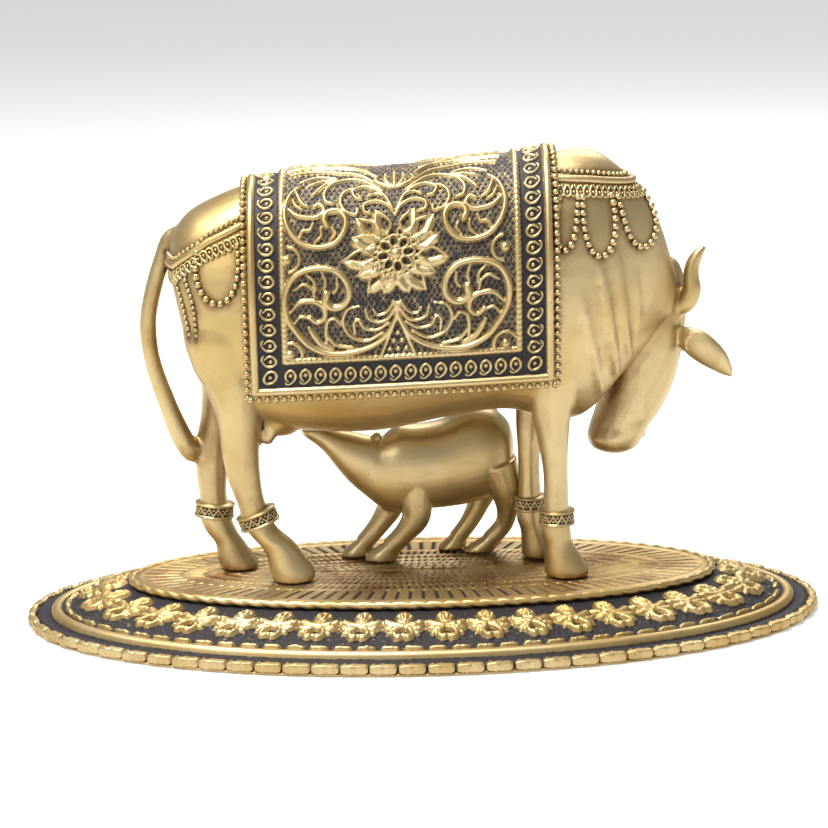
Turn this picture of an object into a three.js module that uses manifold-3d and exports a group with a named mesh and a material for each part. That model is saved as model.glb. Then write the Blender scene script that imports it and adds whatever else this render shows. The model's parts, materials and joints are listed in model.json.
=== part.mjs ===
// A cast brass cow with a calf at her udder, on an oval stand.
// Millimetres, +Z up. The cow faces +X, the stand is centred on the origin and its underside is at Z = 0.
import * as THREE from 'three';
import { mergeVertices } from 'three/addons/utils/BufferGeometryUtils.js';
import Module from 'manifold-3d';

const wasm = await Module();
wasm.setup();

// Driving sizes of the stand
const STAND_HALF_LENGTH = 127;
const STAND_HALF_WIDTH = 66;
const PLATFORM_HALF_LENGTH = 92.8;
const PLATFORM_HALF_WIDTH = 35.4;
const PLATFORM_TOP = 14.4;
const STAND_SIDES = 42;
const BLOCK_COUNT = 70;
const BLOCK_TOP = 3.8;
const LEAF_COUNT = 37;
const BAND_FOOT = 6.8;
const BAND_HEAD = 12.1;

// The animals are drawn with their hooves at HOOF_FOOT and set on the platform with a hairline joint.
const JOINT_GAP = 0.3;
const HOOF_FOOT = 11.7;
const ANIMAL_SHIFT = [0, 3.7, PLATFORM_TOP + JOINT_GAP - HOOF_FOOT];

// The cow's saddle cloth
const CLOTH_REAR = -52;
const CLOTH_FRONT = 42;
const CLOTH_HEM_REAR = 75;
const CLOTH_HEM_FRONT = 77.5;
const CORD_INSETS = [1.3, 11];
const CORD_HALF_WIDTH = 1.3;
const CORD_HEIGHT = 1;
const BODY_MIDDLE_Y = -4;

const BRASS_COLOUR = 0xc9b06a;
const brass = new THREE.MeshStandardMaterial({ color: BRASS_COLOUR, roughness: 0.38, metalness: 1 });
const agedBrass = new THREE.MeshStandardMaterial({ color: 0xa8925a, roughness: 0.5, metalness: 1 });

const point = (x, y, z) => new THREE.Vector3(x, y, z);
const mix = THREE.MathUtils.lerp;
const radians = THREE.MathUtils.degToRad;

// Solids

function signedVolume(points, triangles) {
  let sum = 0;
  const cross = new THREE.Vector3();
  for (let i = 0; i < triangles.length; i += 3) {
    const [a, b, c] = [points[triangles[i]], points[triangles[i + 1]], points[triangles[i + 2]]];
    sum += a.dot(cross.crossVectors(b, c)) / 6;
  }
  return sum;
}

function solidFrom(points, triangles) {
  const faces = [...triangles];
  if (signedVolume(points, faces) < 0) {
    for (let i = 0; i < faces.length; i += 3) {
      [faces[i + 1], faces[i + 2]] = [faces[i + 2], faces[i + 1]];
    }
  }
  const coordinates = new Float32Array(points.flatMap((p) => [p.x, p.y, p.z]));
  const geometry = new THREE.BufferGeometry();
  geometry.setAttribute('position', new THREE.BufferAttribute(coordinates, 3));
  geometry.setIndex(faces);
  const merged = mergeVertices(geometry, 1e-4);
  return new wasm.Manifold(new wasm.Mesh({
    numProp: 3,
    vertProperties: merged.attributes.position.array,
    triVerts: new Uint32Array(merged.index.array),
  }));
}

// Triangles between two rings. One ring may have a whole number of times as many points as the other.
function stitch(lower, lowerSides, upper, upperSides) {
  const steps = Math.max(lowerSides, upperSides);
  const triangles = [];
  for (let j = 0; j < steps; j++) {
    const [a, b] = [j, j + 1].map((k) => lower + (Math.floor((k * lowerSides) / steps) % lowerSides));
    const [c, d] = [j, j + 1].map((k) => upper + (Math.floor((k * upperSides) / steps) % upperSides));
    if (a !== b) triangles.push(a, b, d);
    if (c !== d) triangles.push(a, d, c);
  }
  return triangles;
}

// A closed skin over a list of rings, with a fan over each end.
function loft(rings) {
  const points = rings.flat();
  const starts = rings.map((_, i) => rings.slice(0, i).reduce((sum, ring) => sum + ring.length, 0));
  const triangles = rings.slice(1).flatMap((ring, i) => stitch(
    starts[i], rings[i].length, starts[i + 1], ring.length,
  ));
  const cap = (ring, first, turned) => {
    const sides = ring.length;
    const whole = sides > 4;
    if (whole) points.push(ring.reduce((sum, p) => sum.add(p), point(0, 0, 0)).divideScalar(sides));
    const hub = whole ? points.length - 1 : first;
    for (let j = whole ? 0 : 1; j < (whole ? sides : sides - 1); j++) {
      const a = first + j;
      const b = first + ((j + 1) % sides);
      triangles.push(...(turned ? [a, b, hub] : [b, a, hub]));
    }
  };
  cap(rings[0], 0, false);
  cap(rings[rings.length - 1], starts[rings.length - 1], true);
  return solidFrom(points, triangles);
}

function geometryOf(solid) {
  const { vertProperties, triVerts } = solid.getMesh();
  const geometry = new THREE.BufferGeometry();
  geometry.setAttribute('position', new THREE.BufferAttribute(vertProperties, 3));
  geometry.setIndex(new THREE.BufferAttribute(triVerts, 1));
  geometry.computeVertexNormals();
  return geometry;
}

const unite = (solids) => solids.reduce((all, one) => all.add(one));

function meshOf(solid, name, material, shift = [0, 0, 0]) {
  const mesh = new THREE.Mesh(geometryOf(solid).translate(...shift), material);
  mesh.name = name;
  return mesh;
}

// Sections

// A rounded section between a top and a bottom point. Its side axis is level and turned by yaw.
function bodyRing([topX, topZ, bottomX, bottomZ, y, half, yaw = 0], sides, power = 2.15) {
  const centre = point((topX + bottomX) / 2, y, (topZ + bottomZ) / 2);
  const up = point((topX - bottomX) / 2, 0, (topZ - bottomZ) / 2);
  const across = point(Math.sin(radians(yaw)), -Math.cos(radians(yaw)), 0).multiplyScalar(half);
  return roundRing(centre, up, across, sides, power);
}

function roundRing(centre, up, across, sides, power = 2) {
  const ring = [];
  for (let j = 0; j < sides; j++) {
    const angle = (2 * Math.PI * j) / sides;
    const bend = (value) => Math.sign(value) * Math.abs(value) ** (2 / power);
    ring.push(centre.clone()
      .addScaledVector(up, bend(Math.cos(angle)))
      .addScaledVector(across, bend(Math.sin(angle))));
  }
  return ring;
}

// A level oval section: place, half-length along its front and half-width, turned by yaw.
function levelRing([x, y, z, front, side], sides, yaw = 0) {
  const ahead = point(Math.cos(radians(yaw)), Math.sin(radians(yaw)), 0).multiplyScalar(front);
  const across = point(Math.sin(radians(yaw)), -Math.cos(radians(yaw)), 0).multiplyScalar(side);
  return roundRing(point(x, y, z), ahead, across, sides);
}

// A round bar that follows a list of [x, y, z, radius]; flat squeezes it along the reference direction.
function bar(stations, sides, reference = point(0, 1, 0), flat = 1) {
  const places = stations.map(([x, y, z]) => point(x, y, z));
  return loft(stations.map((station, i) => {
    const before = places[Math.max(i - 1, 0)];
    const after = places[Math.min(i + 1, places.length - 1)];
    const along = after.clone().sub(before).normalize();
    const side = new THREE.Vector3().crossVectors(along, reference).normalize();
    const up = new THREE.Vector3().crossVectors(side, along);
    const radius = station[3];
    return roundRing(places[i], side.multiplyScalar(radius), up.multiplyScalar(radius * flat), sides);
  }));
}

// Places on a surface

// Finds where a line from outside first meets the skin, and which way the skin faces there.
function surfaceFinder(solid) {
  const skin = new THREE.Mesh(geometryOf(solid).toNonIndexed(), new THREE.MeshBasicMaterial());
  const hit = (origin, direction) => {
    const found = new THREE.Raycaster(origin, direction.normalize()).intersectObject(skin)[0];
    return found && { place: found.point, normal: found.face.normal.clone() };
  };
  return {
    // Seen from the side: -1 is the near flank, +1 the far flank.
    flank: (x, z, side) => hit(point(x, side * 200, z), point(0, -side, 0)),
    // Seen from around the spine: 0 is the top, 90 degrees the near flank, -90 the far flank.
    around: (x, angle, middleZ) => {
      const out = point(0, -Math.sin(angle), Math.cos(angle));
      return hit(point(x, BODY_MIDDLE_Y, middleZ).addScaledVector(out, 200), out.clone().negate());
    },
  };
}

// A raised ridge along places on a surface, wide at its foot and pointed at its crest.
function ridge(hits, width, height, taper = 0.4) {
  const sink = 0.6;
  return loft(hits.map(({ place, normal }, i) => {
    const before = hits[Math.max(i - 1, 0)].place;
    const after = hits[Math.min(i + 1, hits.length - 1)].place;
    const along = after.clone().sub(before).normalize();
    const side = new THREE.Vector3().crossVectors(along, normal).normalize();
    const size = i === 0 || i === hits.length - 1 ? taper : 1;
    const foot = (way) => place.clone()
      .addScaledVector(side, (way * width * size) / 2)
      .addScaledVector(normal, -sink);
    return [foot(1), place.clone().addScaledVector(normal, height * size), foot(-1)];
  }));
}

// Places along a curve that a formula gives for 0..1.
const walk = (steps, place) => Array.from({ length: steps + 1 }, (_, i) => place(i / steps));

// The stand

// Every moulding of the stand is an oval between the platform's edge (0) and the outer edge (1).
function standPlace(share, angle, z) {
  const halfLength = mix(PLATFORM_HALF_LENGTH, STAND_HALF_LENGTH, share);
  const halfWidth = mix(PLATFORM_HALF_WIDTH, STAND_HALF_WIDTH, share);
  return point(halfLength * Math.cos(angle), halfWidth * Math.sin(angle), z);
}

// Angles that divide the oval into equal lengths, so that blocks and leaves keep one spacing.
function evenAngles(share, count, shift = 0) {
  const fine = 720;
  const lengths = [0];
  for (let i = 1; i <= fine; i++) {
    const a = standPlace(share, (2 * Math.PI * (i - 1)) / fine, 0);
    lengths.push(lengths[i - 1] + a.distanceTo(standPlace(share, (2 * Math.PI * i) / fine, 0)));
  }
  return Array.from({ length: count }, (_, k) => {
    const target = (lengths[fine] * (k + shift)) / count;
    const i = Math.max(lengths.findIndex((length) => length >= target), 1);
    return (2 * Math.PI * (i - 1 + (target - lengths[i - 1]) / (lengths[i] - lengths[i - 1]))) / fine;
  });
}

const standRing = (share, z) => evenAngles(0.95, STAND_SIDES).map((angle) => standPlace(share, angle, z));

// The ring of blocks: each block is two outer corners, with a notch before the next one.
function blockRing(z) {
  const corners = 3;
  const notchDepth = 0.08;
  return evenAngles(0.95, BLOCK_COUNT * corners).map((angle, i) => (
    standPlace(i % corners === corners - 1 ? 1 - notchDepth : 1, angle, z)
  ));
}

// A vine leaf on the sloping band: a round top lobe, two side points and two curled feet.
// Its outline is millimetres to the side and the share of the way up the band.
const LEAF_OUTLINE = [[0, 1], [2.8, 0.62], [6.4, 0.66], [3.2, 0.02], [0, 0.24]];
const LEAF_HEIGHT = 1.5;

function standLeaf(angle) {
  const foot = standPlace(0.53, angle, BAND_FOOT);
  const head = standPlace(0.05, angle, BAND_HEAD);
  const upward = head.clone().sub(foot);
  const sideways = point(-Math.sin(angle) * STAND_HALF_LENGTH, Math.cos(angle) * STAND_HALF_WIDTH, 0).normalize();
  const outward = new THREE.Vector3().crossVectors(sideways, upward).normalize();
  const place = ([across, along], lift) => foot.clone()
    .addScaledVector(sideways, across)
    .addScaledVector(upward, along)
    .addScaledVector(outward, lift);
  const left = LEAF_OUTLINE.slice(1, -1).reverse().map(([across, along]) => [-across, along]);
  const rim = [...LEAF_OUTLINE, ...left].map((corner) => place(corner, 0.1));
  const points = [...rim, place([0, 0.5], LEAF_HEIGHT), place([0, 0.5], -1.2)];
  const [crest, root] = [rim.length, rim.length + 1];
  const triangles = rim.flatMap((_, j) => {
    const next = (j + 1) % rim.length;
    return [j, next, crest, next, j, root];
  });
  return solidFrom(points, triangles);
}

function stand() {
  const mouldings = loft([
    standRing(0.975, 0),
    standRing(0.985, 0.9),
    blockRing(1.1),
    blockRing(BLOCK_TOP),
    standRing(0.8, 3.4),
    standRing(0.73, 6.3),
    standRing(0.6, 6),
    standRing(-0.02, 12.8),
    standRing(0.03, 13.4),
    standRing(0.01, PLATFORM_TOP),
  ]);
  const leaves = evenAngles(0.3, LEAF_COUNT, 0.25).map(standLeaf);
  return unite([mouldings, ...leaves]);
}

// The cow

// Sections of the trunk and neck from the rump to behind the head:
// top x, top z, bottom x, bottom z, middle y, half-width, yaw in degrees.
const TRUNK = [
  [-77.3, 117, -75.8, 104, -4, 6],
  [-75.4, 123.5, -73.4, 92, -4, 13],
  [-70.5, 129.5, -70.8, 80, -4, 17.8],
  [-62, 134, -65, 70.5, -4, 21.2],
  [-52, 137.6, -53, 63, -4, 23.3],
  [-37, 140.2, -37, 59, -4, 24.4],
  [-13, 140.2, -13, 58.4, -4, 25.2],
  [9, 141.4, 9, 62.3, -4, 25],
  [27, 143.4, 27, 64.4, -4, 24],
  [41, 145.2, 41, 61.5, -4, 22.6],
  [50, 146.4, 48.5, 60.8, -4, 20.4, 4],
  [57.5, 145.2, 54, 63.5, -3.2, 17.8, 10],
  [64.8, 139.4, 57.5, 67.4, -1.8, 15.6, 20],
  [70, 132.8, 60.3, 71, 0.4, 14, 30],
  [73.6, 124.5, 62.3, 73.6, 3, 12.8, 40],
  [75.8, 115.5, 64.8, 76.6, 5.8, 12, 48],
  [77.4, 108.2, 68.2, 79.4, 8.2, 11, 55],
  [77.4, 102.4, 71.6, 83.6, 9.8, 7.5, 60],
];

// Level sections of each leg: x, y, z, half-length, half-width.
const NEAR_HIND_LEG = [
  [-58, -11, 106, 9, 6],
  [-59.2, -14.6, 95, 13.8, 11],
  [-58.6, -15.4, 83, 12.2, 9.6],
  [-57.6, -15, 75, 9.4, 8],
  [-56.7, -14.2, 66, 7.1, 6.6],
  [-56.7, -13.6, 55, 6, 5.4],
  [-55.8, -13.2, 45.5, 5.3, 4.7],
  [-51.2, -13, 29.5, 5, 4.4],
  [-47.2, -13.2, 25, 5.8, 4.8],
  [-44.4, -13.4, 21.6, 5.8, 4.7],
  [-41.8, -13.5, 16, 6.9, 5.4],
  [-41, -13.5, 13.3, 7.2, 5.7],
  [-41.2, -13.5, HOOF_FOOT, 6.5, 5.4],
];
const FAR_HIND_LEG = [
  [-58, 4, 106, 8, 6],
  [-61, 8, 95, 12.6, 10],
  [-61, 8.2, 83, 10.2, 9],
  [-61.8, 7, 73, 7.8, 7.2],
  [-63.6, 5.2, 63, 6.2, 6],
  [-66.2, 3.6, 52, 5.8, 5.2],
  [-66.8, 2.4, 36, 4.5, 4.2],
  [-66.2, 2.3, 28.5, 5.1, 4.5],
  [-64.2, 2.3, 23.4, 4.9, 4.6],
  [-62, 2.2, 20.4, 4.7, 4.5],
  [-60, 2.2, 15.2, 6.2, 5.1],
  [-59, 2.2, 12.9, 6.5, 5.4],
  [-59, 2.2, HOOF_FOOT, 5.9, 5.2],
];
const NEAR_FORE_LEG = [
  [43, -13.5, 100, 10, 8],
  [43, -15.4, 86, 10.4, 8.2],
  [42.4, -15.6, 75, 7.9, 7],
  [41.5, -15.4, 65, 6.2, 5.7],
  [41.9, -15.3, 56, 4.9, 4.9],
  [42.7, -15.3, 36, 4, 4.1],
  [42.5, -15.3, 26.5, 4.8, 4.5],
  [43.4, -15.3, 22.2, 4.7, 4.5],
  [45.2, -15.3, 16.5, 6.4, 5.4],
  [45.9, -15.3, 13.2, 7.2, 5.9],
  [46.2, -15.3, HOOF_FOOT, 6.5, 5.6],
];
const FAR_FORE_LEG = [
  [41, 5, 100, 10, 8],
  [40, 7.5, 83, 9, 7.6],
  [37.8, 7.4, 70, 6.6, 6.4],
  [35.9, 6.8, 57, 4.6, 4.8],
  [35.4, 6.6, 36, 3.6, 3.9],
  [35.5, 6.6, 25.5, 4.4, 4.3],
  [36.6, 6.6, 21, 4.3, 4.3],
  [38.3, 6.6, 16, 5.8, 5.1],
  [38.9, 6.6, 13, 6.4, 5.5],
  [39, 6.6, HOOF_FOOT, 5.9, 5.2],
];

// Ankle bands: middle, half-length, half-width, and the lean of the leg in degrees.
const ANKLE_BANDS = [
  { middle: [-51.9, -13.1, 32.3], halves: [5.7, 5.2], lean: 20 },
  { middle: [-66.5, 2.3, 31.4], halves: [5.6, 5.1], lean: -6 },
  { middle: [42.8, -15.3, 31.1], halves: [5, 4.9], lean: 0 },
  { middle: [35.6, 6.6, 30], halves: [4.6, 4.8], lean: 0 },
];
const ANKLE_BAND_HEIGHT = 4.8;

// The head hangs down and looks away over the far shoulder. Its sections are level, turned by HEAD_YAW:
// x, y, z, half-length from brow to jaw, half-width.
const HEAD_YAW = 60;
const HEAD = [
  [76.8, 12, 109.2, 3.5, 4.5],
  [76.2, 12, 106.8, 8, 8.2],
  [75.2, 11.8, 100.5, 11.6, 11.2],
  [74, 11.4, 92, 13.2, 12.6],
  [73, 11, 83, 13.2, 12.8],
  [71.8, 10.4, 73, 12.6, 12],
  [70.1, 9.8, 66, 11.8, 11.4],
  [67.4, 9.2, 59.4, 10.8, 10.6],
  [65.2, 8.8, 55.4, 9.9, 9.8],
  [63.5, 8.4, 51.2, 9.7, 8.9],
  [63.3, 8.2, 48, 7.8, 7.2],
  [63.6, 8.2, 46, 3.6, 3.4],
];

const NEAR_HORN = [
  [80, 7.5, 93, 3.6], [85.4, 4.6, 95, 3.4], [87.6, 3.6, 99.4, 3], [87.4, 3.4, 103.4, 2.6],
  [87.8, 3.4, 107.4, 2.3], [89.6, 3.2, 111, 1.7], [91.6, 3, 113.4, 0.7],
];
const FAR_HORN = [
  [67, 15, 93, 3.6], [62.6, 17.6, 95, 3.4], [60.6, 18.8, 99.4, 3], [60.8, 18.8, 103.4, 2.6],
  [60.4, 19.2, 107.4, 2.3], [58.8, 20.4, 111, 1.7], [57, 21.4, 113.4, 0.7],
];
const NEAR_EAR = [
  [82, 4.5, 85.4, 2.6], [86.7, 2, 83.6, 4.6], [90.4, 0.4, 81.4, 5.1], [94.8, -0.8, 77.8, 4.3],
  [98.2, -1.4, 74.2, 2.4], [100, -1.6, 72, 0.7],
];
const FAR_EAR = [
  [66, 16, 85.4, 2.6], [61.4, 19, 83.6, 4.4], [58.4, 20.6, 81, 4.8], [55.6, 21.8, 77, 4],
  [54, 22.4, 73.4, 2.2], [53.4, 22.6, 71, 0.7],
];

// The bridle's throat strap around the end of the neck: place and radius.
const THROAT_STRAP = [
  [80.4, 5, 106.4, 1.4], [84, 1.6, 102, 1.4], [85.4, -0.2, 96, 1.4], [85.4, -0.8, 90, 1.4],
  [84.2, -0.8, 84.6, 1.4], [80.8, -1, 80.4, 1.4], [75.6, 0, 78.2, 1.4], [71, 2, 77.6, 1.4],
];

const TAIL = [
  [-71, -2, 121.4, 3.2], [-76.4, -2, 121, 2.9], [-79.6, -2, 114.5, 2.7], [-83.2, -2, 103.4, 2.7],
  [-85, -2, 93.2, 2.7], [-84, -2, 81.5, 2.7], [-80.4, -1.6, 69, 2.9], [-76.6, -0.8, 58, 3.4],
  [-73.6, 0.6, 51.8, 3.5], [-71.5, 1.4, 49.2, 2.6],
];

const UDDER = [
  [-45, -4, 68, 10, 11], [-44.6, -4, 62.4, 8.6, 10], [-44.2, -4, 58.6, 5.6, 6.6], [-44, -4, 57.2, 2, 3],
];
const TEATS = [
  [[-46.6, -10.4, 62, 2.6], [-48, -10.8, 58, 2.4], [-48.6, -11, 55.8, 1.5]],
  [[-47, -1.4, 60, 2.2], [-47.6, -1.2, 56.8, 2.1], [-48, -1.2, 55.2, 1.3]],
];

// How far a cord lifts the cloth, where the nearest cord runs this far in from the edge.
const cordLift = (inset) => (CORD_INSETS.includes(inset) ? CORD_HEIGHT : 0);

// Distances from the edge at which the cloth bends over its two cords.
const CORD_STEPS = CORD_INSETS.flatMap((inset) => [inset - CORD_HALF_WIDTH, inset, inset + CORD_HALF_WIDTH]);

// The saddle cloth's outline over the spine and down both flanks, at one place along the cow and
// the distance from there to the nearer end of the cloth.
function clothRing([x, endInset]) {
  const share = (x - CLOTH_REAR) / (CLOTH_FRONT - CLOTH_REAR);
  const top = clothSpine(x);
  const hem = mix(CLOTH_HEM_REAR, CLOTH_HEM_FRONT, share);
  const waist = mix(103, 107, share);
  const half = clothHalfWidth(x);
  const endLift = cordLift(endInset);
  const overInner = endInset > CORD_INSETS[1];
  const shoulder = walk(5, (t) => {
    const angle = (t * Math.PI) / 2;
    const [sideways, upwards] = [Math.sin(angle) ** 0.93, Math.cos(angle) ** 0.93];
    return [(half + endLift) * sideways, waist + (top + endLift - waist) * upwards];
  });
  const skirt = [...CORD_STEPS].reverse().map((inset) => {
    const hemLift = inset > CORD_INSETS[0] + CORD_HALF_WIDTH && !overInner ? 0 : cordLift(inset);
    return [half - 1.4 * (1 - inset / (waist - hem)) + Math.max(hemLift, endLift), hem + inset];
  });
  const flank = [...shoulder, ...skirt];
  const near = flank.map(([out, z]) => point(x, BODY_MIDDLE_Y - out, z)).reverse();
  const far = flank.slice(1).map(([out, z]) => point(x, BODY_MIDDLE_Y + out, z));
  return [...near, ...far];
}

const CLOTH_SPINE = new THREE.CatmullRomCurve3([
  point(CLOTH_REAR, 0, 139.2), point(-36, 0, 141.8), point(-12, 0, 141.9), point(12, 0, 143.3),
  point(28, 0, 145.2), point(CLOTH_FRONT, 0, 147.3),
]);

const clothSpine = (x) => CLOTH_SPINE.getPoint((x - CLOTH_REAR) / (CLOTH_FRONT - CLOTH_REAR)).z;

const clothHalfWidth = (x) => mix(25, 24.2, (x - CLOTH_REAR) / (CLOTH_FRONT - CLOTH_REAR))
  + 1.9 * Math.cos((Math.PI * (x + 8)) / 100);

function saddleCloth() {
  const rear = CORD_STEPS.map((inset) => [CLOTH_REAR + inset, inset]);
  const front = [...CORD_STEPS].reverse().map((inset) => [CLOTH_FRONT - inset, inset]);
  const field = [-17, 7].map((x) => [x, Math.min(x - CLOTH_REAR, CLOTH_FRONT - x)]);
  return loft([...rear, ...field, ...front].map(clothRing));
}

// A C-scroll that winds into a volute: middle, radius, first angle, turn and number of turns.
function scroll(finder, side, [x, z, radius, start, turns, way]) {
  const hits = walk(SCROLL_STEPS, (t) => {
    const reach = radius * (1 - 0.72 * t ** 0.9);
    const angle = radians(start) + way * t * turns * 2 * Math.PI;
    return finder.flank(x + reach * Math.cos(angle), z + reach * Math.sin(angle), side);
  });
  return ridge(hits, 2.9, 1.3, 0.6);
}

// Scrolls of one flank: x, z, radius, first angle in degrees, turns, direction.
// The near flank carries all four, the plainer far flank the lower two.
const SCROLL_STEPS = 8;
const SCROLLS = [
  [-30, 128, 9.6, 300, 1.2, 1],
  [-30.4, 102, 11.5, 60, 1.2, -1],
  [17.8, 127.5, 9.6, 240, 1.2, -1],
  [18, 101.6, 11.5, 120, 1.2, 1],
];
const FLOWER = { x: -7.3, z: 118.5, petals: 5, petalReach: 9, leafReach: 13, notch: 6.6, edgeLift: 0.7, bossLift: 2.6 };

// The flower in the middle of a flank: a star of petals and leaves that rises to a boss.
function flower(finder, side) {
  const corners = walk(4 * FLOWER.petals - 1, (t) => Math.round(t * (4 * FLOWER.petals - 1)));
  const placeAt = (corner, lift) => {
    const angle = (2 * Math.PI * corner) / (4 * FLOWER.petals);
    const reach = corner % 2 ? FLOWER.notch : [FLOWER.petalReach, FLOWER.leafReach][(corner / 2) % 2];
    const { place, normal } = finder.flank(
      FLOWER.x + reach * Math.cos(angle), FLOWER.z + reach * Math.sin(angle), side,
    );
    return place.addScaledVector(normal, lift);
  };
  const rim = corners.map((corner) => placeAt(corner, corner % 2 ? -0.2 : FLOWER.edgeLift));
  const foot = corners.map((corner) => placeAt(corner, -1));
  const { place, normal } = finder.flank(FLOWER.x, FLOWER.z, side);
  const boss = place.clone().addScaledVector(normal, FLOWER.bossLift);
  const points = [...foot, ...rim, boss, place.addScaledVector(normal, -2)];
  const count = rim.length;
  const triangles = rim.flatMap((_, j) => {
    const next = (j + 1) % count;
    const wall = [j, next, count + next, j, count + next, count + j];
    return [...wall, count + j, count + next, 2 * count, next, j, 2 * count + 1];
  });
  return solidFrom(points, triangles);
}

// The dotted triangle below the flower, drawn as its two sides and its foot.
function clothTriangle(finder, side) {
  const corners = [[-5.6, 98], [-11.6, 86.5], [0.2, 86.5], [-5.6, 98]];
  const edges = corners.slice(1).map(([x, z], i) => ridge(walk(1, (t) => finder.flank(
    mix(corners[i][0], x, t), mix(corners[i][1], z, t), side,
  )), 1.8, 1.1, 0.8));
  return unite(edges);
}

// A string of beads hung between two places on a flank.
function swag(finder, side, [fromX, fromZ, toX, toZ, drop], width = 2.1) {
  const hits = walk(side < 0 ? 5 : 4, (t) => finder.flank(
    mix(fromX, toX, t ** 0.9),
    mix(fromZ, toZ, t) - drop * (1 - (2 * t - 1) ** 2) ** 0.7,
    side,
  ));
  return ridge(hits, width, 1.5, 0.9);
}

const CHEST_SWAGS = [
  [43.5, 134.5, 51.5, 134.5, 13], [51.5, 134.5, 62.5, 134.5, 18], [62.5, 134.5, 71.5, 128, 15],
];
const RUMP_SWAGS = [[-54, 124, -73, 115, 14]];

// The straps before and behind the cloth with their swags, one fewer on the plainer far side.
function harness(finder, side) {
  const chestStrap = ridge(walk(3, (t) => finder.flank(mix(42, 67, t), mix(138.6, 136.4, t), side)), 3.6, 1.5, 0.9);
  const rumpStrap = ridge(walk(3, (t) => finder.flank(mix(-52, -74.2, t), mix(127.5, 116, t), side)), 3.6, 1.5, 0.9);
  const chest = CHEST_SWAGS.slice(0, side < 0 ? 3 : 2);
  const swags = [...chest, ...RUMP_SWAGS].map((shape) => swag(finder, side, shape));
  return unite([chestStrap, rumpStrap, ...swags]);
}

// Folds of loose skin down the side of the neck: x and z at the top, x and z at the foot, width, height.
const NECK_FOLDS = [
  [59, 112, 62.4, 74, 4, 1.6], [54, 106, 57.5, 72, 4, 1.3],
];

const neckFold = (finder, [topX, topZ, footX, footZ, width, height]) => ridge(
  walk(4, (t) => finder.flank(mix(topX, footX, t), mix(topZ, footZ, t), -1)), width, height, 0.5,
);

function ankleBand({ middle: [x, y, z], halves: [front, side], lean }) {
  const tilt = radians(lean);
  const axis = point(-Math.sin(tilt), 0, Math.cos(tilt));
  const ahead = point(Math.cos(tilt), 0, Math.sin(tilt)).multiplyScalar(front);
  return loft([-0.5, 0.5].map((share) => roundRing(
    point(x, y, z).addScaledVector(axis, share * ANKLE_BAND_HEIGHT), ahead, point(0, side, 0), 8,
  )));
}

// The noseband stands out as a thin flap around the muzzle.
const noseband = () => loft([
  levelRing([68.4, 9.4, 59.2, 13, 12.4], 12, HEAD_YAW),
  levelRing([68.2, 9.3, 58, 13, 12.4], 12, HEAD_YAW),
]);

const hornRing = (horn) => loft([101.6, 105.2].map((z) => levelRing([horn[3][0], horn[3][1], z, 3.2, 3.2], 7)));

function cow() {
  const trunk = loft(TRUNK.map((station) => bodyRing(station, 12)));
  const cloth = saddleCloth();
  const onBody = surfaceFinder(trunk);
  const onCloth = surfaceFinder(cloth);
  const legs = [NEAR_HIND_LEG, FAR_HIND_LEG, NEAR_FORE_LEG, FAR_FORE_LEG]
    .map((stations) => loft(stations.map((station) => levelRing(station, 7))));
  const head = loft(HEAD.map((station) => levelRing(station, 9, HEAD_YAW)));
  const horns = [NEAR_HORN, FAR_HORN].flatMap((horn) => [bar(horn, 5), hornRing(horn)]);
  const ears = [NEAR_EAR, FAR_EAR].map((ear) => bar(ear, 6, point(0.3, 1, 0.2).normalize(), 0.3));
  const udder = loft(UDDER.map((station) => levelRing(station, 8)));
  const teats = TEATS.map((teat) => bar(teat, 4));
  const carving = [-1, 1].flatMap((side) => [
    ...SCROLLS.slice(side < 0 ? 0 : 2).map((shape) => scroll(onCloth, side, shape)),
    flower(onCloth, side),
    clothTriangle(onCloth, side),
    harness(onBody, side),
  ]);
  const folds = NECK_FOLDS.map((fold) => neckFold(onBody, fold));
  return unite([
    trunk, cloth, ...legs, head, ...horns, ...ears, udder, ...teats, bar(TAIL, 5), bar(THROAT_STRAP, 4),
    noseband(), ...ANKLE_BANDS.map(ankleBand), ...carving, ...folds,
  ]);
}

// The calf

// Sections from the rump to the muzzle, as for the cow.
const CALF_BODY = [
  [30.8, 50, 30.8, 42, 16.4, 4],
  [29, 55, 29.4, 36, 16, 8],
  [24, 59.4, 24, 31, 15.2, 10],
  [17, 60.4, 17, 28.6, 14.2, 10.8],
  [8, 57, 8, 27.6, 12.8, 10.8],
  [0, 55.8, 0, 27.6, 11.4, 10.4],
  [-6, 56, -6.4, 27.2, 10.4, 9.6],
  [-10, 54, -12.4, 28.6, 9.6, 8.2],
  [-12.4, 52.2, -18.4, 33.6, 8.8, 7],
  [-16, 53, -23, 38, 8.2, 6.8],
  [-21, 54.4, -26.8, 42.8, 7.6, 6],
  [-26, 55.6, -31, 48.6, 7.2, 4.8],
  [-30, 57, -34.2, 51.6, 7, 4.1],
  [-34, 58, -36.8, 53.6, 6.8, 3.8],
  [-36.8, 57.4, -38, 55.2, 6.7, 2],
];

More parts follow.
